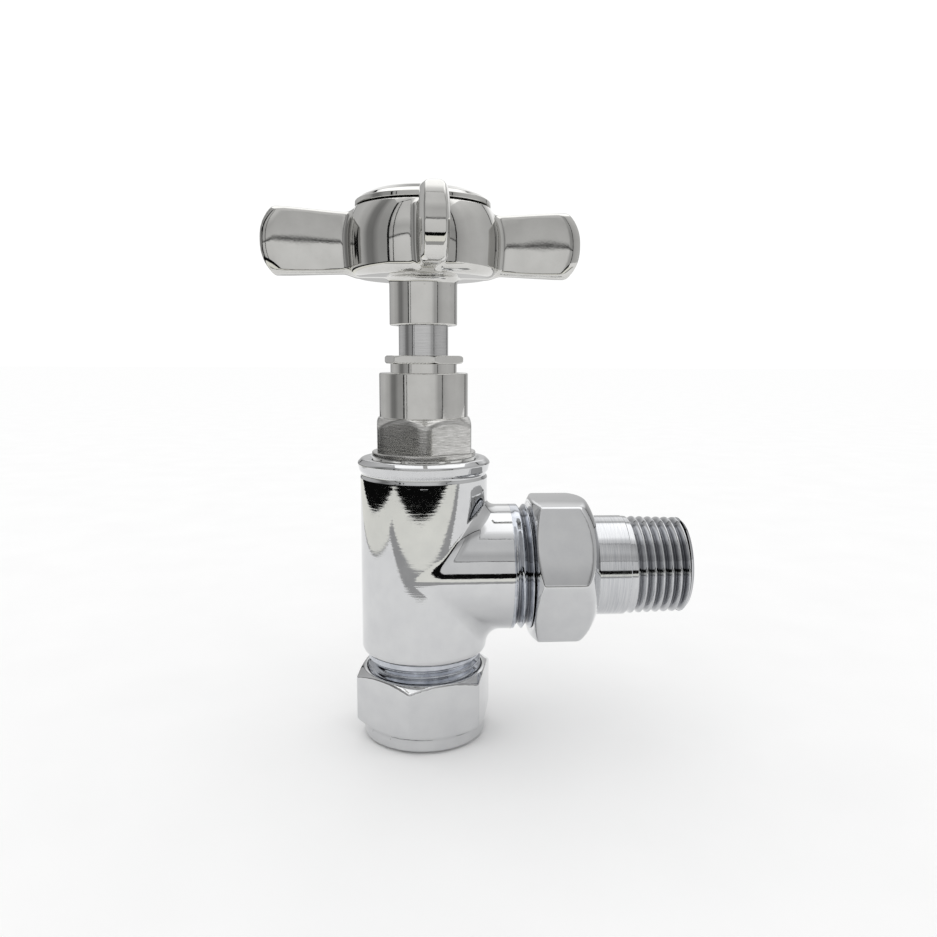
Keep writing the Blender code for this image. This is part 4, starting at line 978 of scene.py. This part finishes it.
def build_jumper():
    """Disc over the washer, with a pin below for its nut and a stem above."""
    plug = lathe([
        (0.0, 29.7, 0.0), (1.9, 29.7, 0.3), (1.9, 34.9, 0.1), (8.3, 34.9, 0.3), (8.3, 37.4, 0.4),
        (2.6, 37.4, 0.3), (2.6, 46.4, 0.3), (0.0, 46.4, 0.0)], UP, COARSE)
    piece("jumper_disc", "jumper", brass("valve_plug_look"), [plug], ("valve_plug",))


def build_seals():
    """O rings: a circular cord of this radius, turned about its axis."""
    cord = 0.75
    for name, body, axis, radius, station in (
            ("tail_o_ring", "tail", OUT, 8.85, 28.6), ("bonnet_o_ring", "body", UP, 9.85, 55.8)):
        angle = TURN * np.arange(25) / 24.0
        loop = [(radius + cord * math.cos(a), station + cord * math.sin(a), 0.0) for a in angle]
        piece(name + "_cord", body, rubber(name + "_look"), [lathe(loop, axis, COARSE)], (name,))


def dress_fixings():
    """New materials on the two fixings that keep the mesh of the frame."""
    for name, stuff in (("washer_nut", brass), ("handle_screw", steel)):
        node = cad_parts[name]
        node.data.materials.clear()
        node.data.materials.append(stuff(name + "_look"))


# ------------------------------------------------------- stage and light

def stops_value(tree, value, stops):
    """Factor that follows (place in millimetres, factor) stops along a coordinate."""
    low, high = stops[0][0], stops[-1][0]
    node = tree.nodes.new("ShaderNodeValToRGB")
    points = node.color_ramp.elements
    while len(points) < len(stops):
        points.new(0.5)
    for point, (at, factor) in zip(points, stops):
        point.position = (at - low) / (high - low)
        point.color = (factor, factor, factor, 1.0)
    tree.links.new(ramp(tree, value, 0.0, 1.0, low * MM, high * MM), node.inputs["Fac"])
    return node.outputs["Color"]


def multiply(tree, a, b):
    """Product of a link and another link or a number."""
    node = tree.nodes.new("ShaderNodeMath")
    node.operation = "MULTIPLY"
    tree.links.new(a, node.inputs[0])
    if isinstance(b, float):
        node.inputs[1].default_value = b
    else:
        tree.links.new(b, node.inputs[1])
    return node.outputs["Value"]


def glow(name, color, level, spread, along=0, bands=()):
    """Light-giving paper that varies softly along one axis and up the panel."""
    material = bpy.data.materials.new(name)
    material.use_nodes = True
    tree = material.node_tree
    tree.nodes.clear()
    out = tree.nodes.new("ShaderNodeOutputMaterial")
    shader = tree.nodes.new("ShaderNodeEmission")
    shader.inputs["Color"].default_value = (*color, 1.0)
    tree.links.new(shader.outputs["Emission"], out.inputs["Surface"])
    split = tree.nodes.new("ShaderNodeSeparateXYZ")
    tree.links.new(tree.nodes.new("ShaderNodeTexCoord").outputs["Object"], split.inputs["Vector"])
    value = stops_value(tree, split.outputs[along], spread)
    if bands:
        value = multiply(tree, stops_value(tree, split.outputs["Z"], bands), value)
    tree.links.new(multiply(tree, value, level), shader.inputs["Strength"])
    return material


def panel(name, low, high, material):
    """Flat panel of the light tent; only reflections see it."""
    low, high = np.array(low) * MM, np.array(high) * MM
    flat = int(np.argmin(np.abs(high - low)))
    u, v = [k for k in range(3) if k != flat]
    corners = []
    for a, b in ((0, 0), (1, 0), (1, 1), (0, 1)):
        corner = low.copy()
        corner[u] += a * (high - low)[u]
        corner[v] += b * (high - low)[v]
        corners.append(tuple(corner))
    mesh = bpy.data.meshes.new(name)
    mesh.from_pydata(corners, [], [(0, 1, 2, 3)])
    mesh.materials.append(material)
    obj = bpy.data.objects.new(name, mesh)
    obj.rotation_euler = (0.0, 0.0, TENT_TURN)
    bpy.context.scene.collection.objects.link(obj)
    obj.visible_camera = False
    obj.visible_diffuse = False
    obj.visible_shadow = False


def build_floor():
    mesh = bpy.data.meshes.new("floor")
    edge = FLOOR_REACH * MM
    mesh.from_pydata([(-edge, -edge, 0), (edge, -edge, 0), (edge, edge, 0), (-edge, edge, 0)], [],
                     [(0, 1, 2, 3)])
    floor = bpy.data.objects.new("floor", mesh)
    floor.location = (0.0, 0.0, FLOOR_Z * MM)
    bpy.context.scene.collection.objects.link(floor)
    material, tree, shader, where = new_material("floor_paper")
    tree.links.new(tint(tree, noise(tree, where, 40.0, 3.0), (0.94, 0.94, 0.94), (0.96, 0.96, 0.96)),
                   shader.inputs["Base Color"])
    shader.inputs["Roughness"].default_value = 0.9
    shader.inputs["Specular IOR Level"].default_value = 0.0
    mesh.materials.append(material)


def build_world():
    world = bpy.data.worlds.new("studio")
    bpy.context.scene.world = world
    world.use_nodes = True
    background = world.node_tree.nodes["Background"]
    background.inputs["Color"].default_value = (1.0, 1.0, 1.0, 1.0)
    background.inputs["Strength"].default_value = WORLD_LIGHT


def build_walls():
    """Walls and ceiling of the light tent, brightest in their middles."""
    l, r, f, b, foot, top = TENT_LEFT, TENT_RIGHT, TENT_FRONT, TENT_BACK, TENT_FOOT, TENT_TOP
    climb = ((foot, 0.9), (150.0, 0.85), (300.0, 0.9), (top, 1.2))
    panel("tent_front", (l, f, foot), (r, f, top), glow(
        "tent_front_glow", NEUTRAL, 1.0,
        ((l, 0.50), (-215.0, 0.80), (-150.0, 0.95), (60.0, 1.0), (160.0, 0.94), (235.0, 0.60), (r, 0.56)), 0,
        ((foot, 0.76), (132.0, 0.82), (136.0, 0.05), (141.0, 0.62), (190.0, 0.56), (260.0, 0.74),
         (400.0, 0.74), (top, 0.80))))
    panel("tent_left", (l, f, foot), (l, b, top), glow(
        "tent_left_glow", NEUTRAL, 0.9,
        ((f, 0.50), (-148.0, 0.48), (-88.0, 0.26), (-38.0, 0.30), (10.0, 0.62), (110.0, 0.78), (b, 0.60)), 1,
        climb))
    panel("tent_right", (r, f, foot), (r, b, top), glow(
        "tent_right_glow", NEUTRAL, 0.9,
        ((f, 0.50), (-200.0, 0.62), (-100.0, 0.74), (60.0, 0.78), (b, 0.62)), 1, climb))
    panel("tent_back", (l, b, 0.0), (r, b, top), glow(
        "tent_back_glow", NEUTRAL, 1.6,
        ((l, 0.45), (-150.0, 0.8), (0.0, 1.0), (150.0, 0.85), (r, 0.40)), 0,
        ((0.0, 0.38), (160.0, 0.42), (230.0, 0.80), (420.0, 0.70), (500.0, 0.36), (top, 0.30))))
    panel("tent_ceiling", (l, f, top), (r, b, top), glow(
        "tent_ceiling_glow", NEUTRAL, 1.75,
        ((f, 0.40), (-150.0, 0.55), (-80.0, 0.85), (300.0, 1.0), (b, 0.6)), 1))


def build_seams():
    """Dark foot and seams of the tent."""
    l, r, f, b, foot, top = TENT_LEFT, TENT_RIGHT, TENT_FRONT, TENT_BACK, TENT_FOOT, TENT_TOP
    front, back = f + SEAM_GAP, b - SEAM_GAP
    dark = glow("tent_dark", BLACK, 1.0, ((l, 1.0), (r, 1.0)))
    for name, low, high in (
            ("foot_front", (l, f, 0.0), (r, f, foot)),
            ("foot_left", (l, f, 0.0), (l, b, foot)),
            ("seam_left_wide", (l, front, foot), (l + 30.0, front, top)),
            ("seam_left_thin", (l + 72.0, front, foot), (l + 81.0, front, top)),
            ("seam_right", (r - 24.0, front, foot), (r, front, top)),
            ("seam_back_left", (l, back, 0.0), (l + 20.0, back, top)),
            ("seam_back_right", (r - 26.0, back, 0.0), (r, back, top)),
            ("seam_ceiling", (l, front, top - 12.0), (r, front, top))):
        panel(name, low, high, dark)


def build_table():
    """Warm table round the white paper, and the grey edge of the paper."""
    l, r, f, b = TENT_LEFT, TENT_RIGHT, TENT_FRONT, TENT_BACK
    border = glow("table_border_glow", WARM, 0.98, ((l, 0.95), (0.0, 1.0), (r, 0.95)))
    panel("table_front", (l, f, TABLE_Z), (r, PAPER_FRONT, TABLE_Z), border)
    panel("table_left", (l, PAPER_FRONT, TABLE_Z), (PAPER_LEFT, b, TABLE_Z), border)
    shade = glow("paper_edge_glow", NEUTRAL, 0.42, ((l, 0.9), (0.0, 1.0), (r, 0.9)))
    panel("paper_edge_front", (PAPER_LEFT - 20.0, PAPER_FRONT - 34.0, PAPER_EDGE_Z),
          (r, PAPER_FRONT, PAPER_EDGE_Z), shade)
    panel("paper_edge_left", (PAPER_LEFT - 5.0, PAPER_FRONT, PAPER_EDGE_Z),
          (PAPER_LEFT, 150.0, PAPER_EDGE_Z), shade)


def build_camera():
    """Camera of the view: a little above and to the right, looking at the barrel."""
    data = bpy.data.cameras.new("camera")
    data.sensor_width = SENSOR
    data.lens = LENS
    data.clip_start = 5.0 * MM
    camera = bpy.data.objects.new("camera", data)
    bpy.context.scene.collection.objects.link(camera)
    forward = Vector((math.sin(CAMERA_YAW) * math.cos(CAMERA_PITCH),
                      math.cos(CAMERA_YAW) * math.cos(CAMERA_PITCH), -math.sin(CAMERA_PITCH)))
    right = Vector((math.cos(CAMERA_YAW), -math.sin(CAMERA_YAW), 0.0))
    up = right.cross(forward)
    side = math.cos(CAMERA_ROLL) * right + math.sin(CAMERA_ROLL) * up
    top = math.cos(CAMERA_ROLL) * up - math.sin(CAMERA_ROLL) * right
    turn = Matrix((side, top, -forward)).transposed().to_4x4()
    camera.matrix_world = Matrix.Translation(Vector(CAMERA_PLACE) * MM) @ turn
    bpy.context.scene.camera = camera


for build in (build_casting, build_body_threads, build_waterway, build_compression_end, build_union_nut,
              build_tail, build_bonnet, build_gland, build_spindle, build_handle, build_cap, build_rings,
              build_jumper, build_seals, dress_fixings, build_floor, build_world, build_walls,
              build_seams, build_table, build_camera):
    build()
bpy.context.scene.view_settings.view_transform = "Standard"
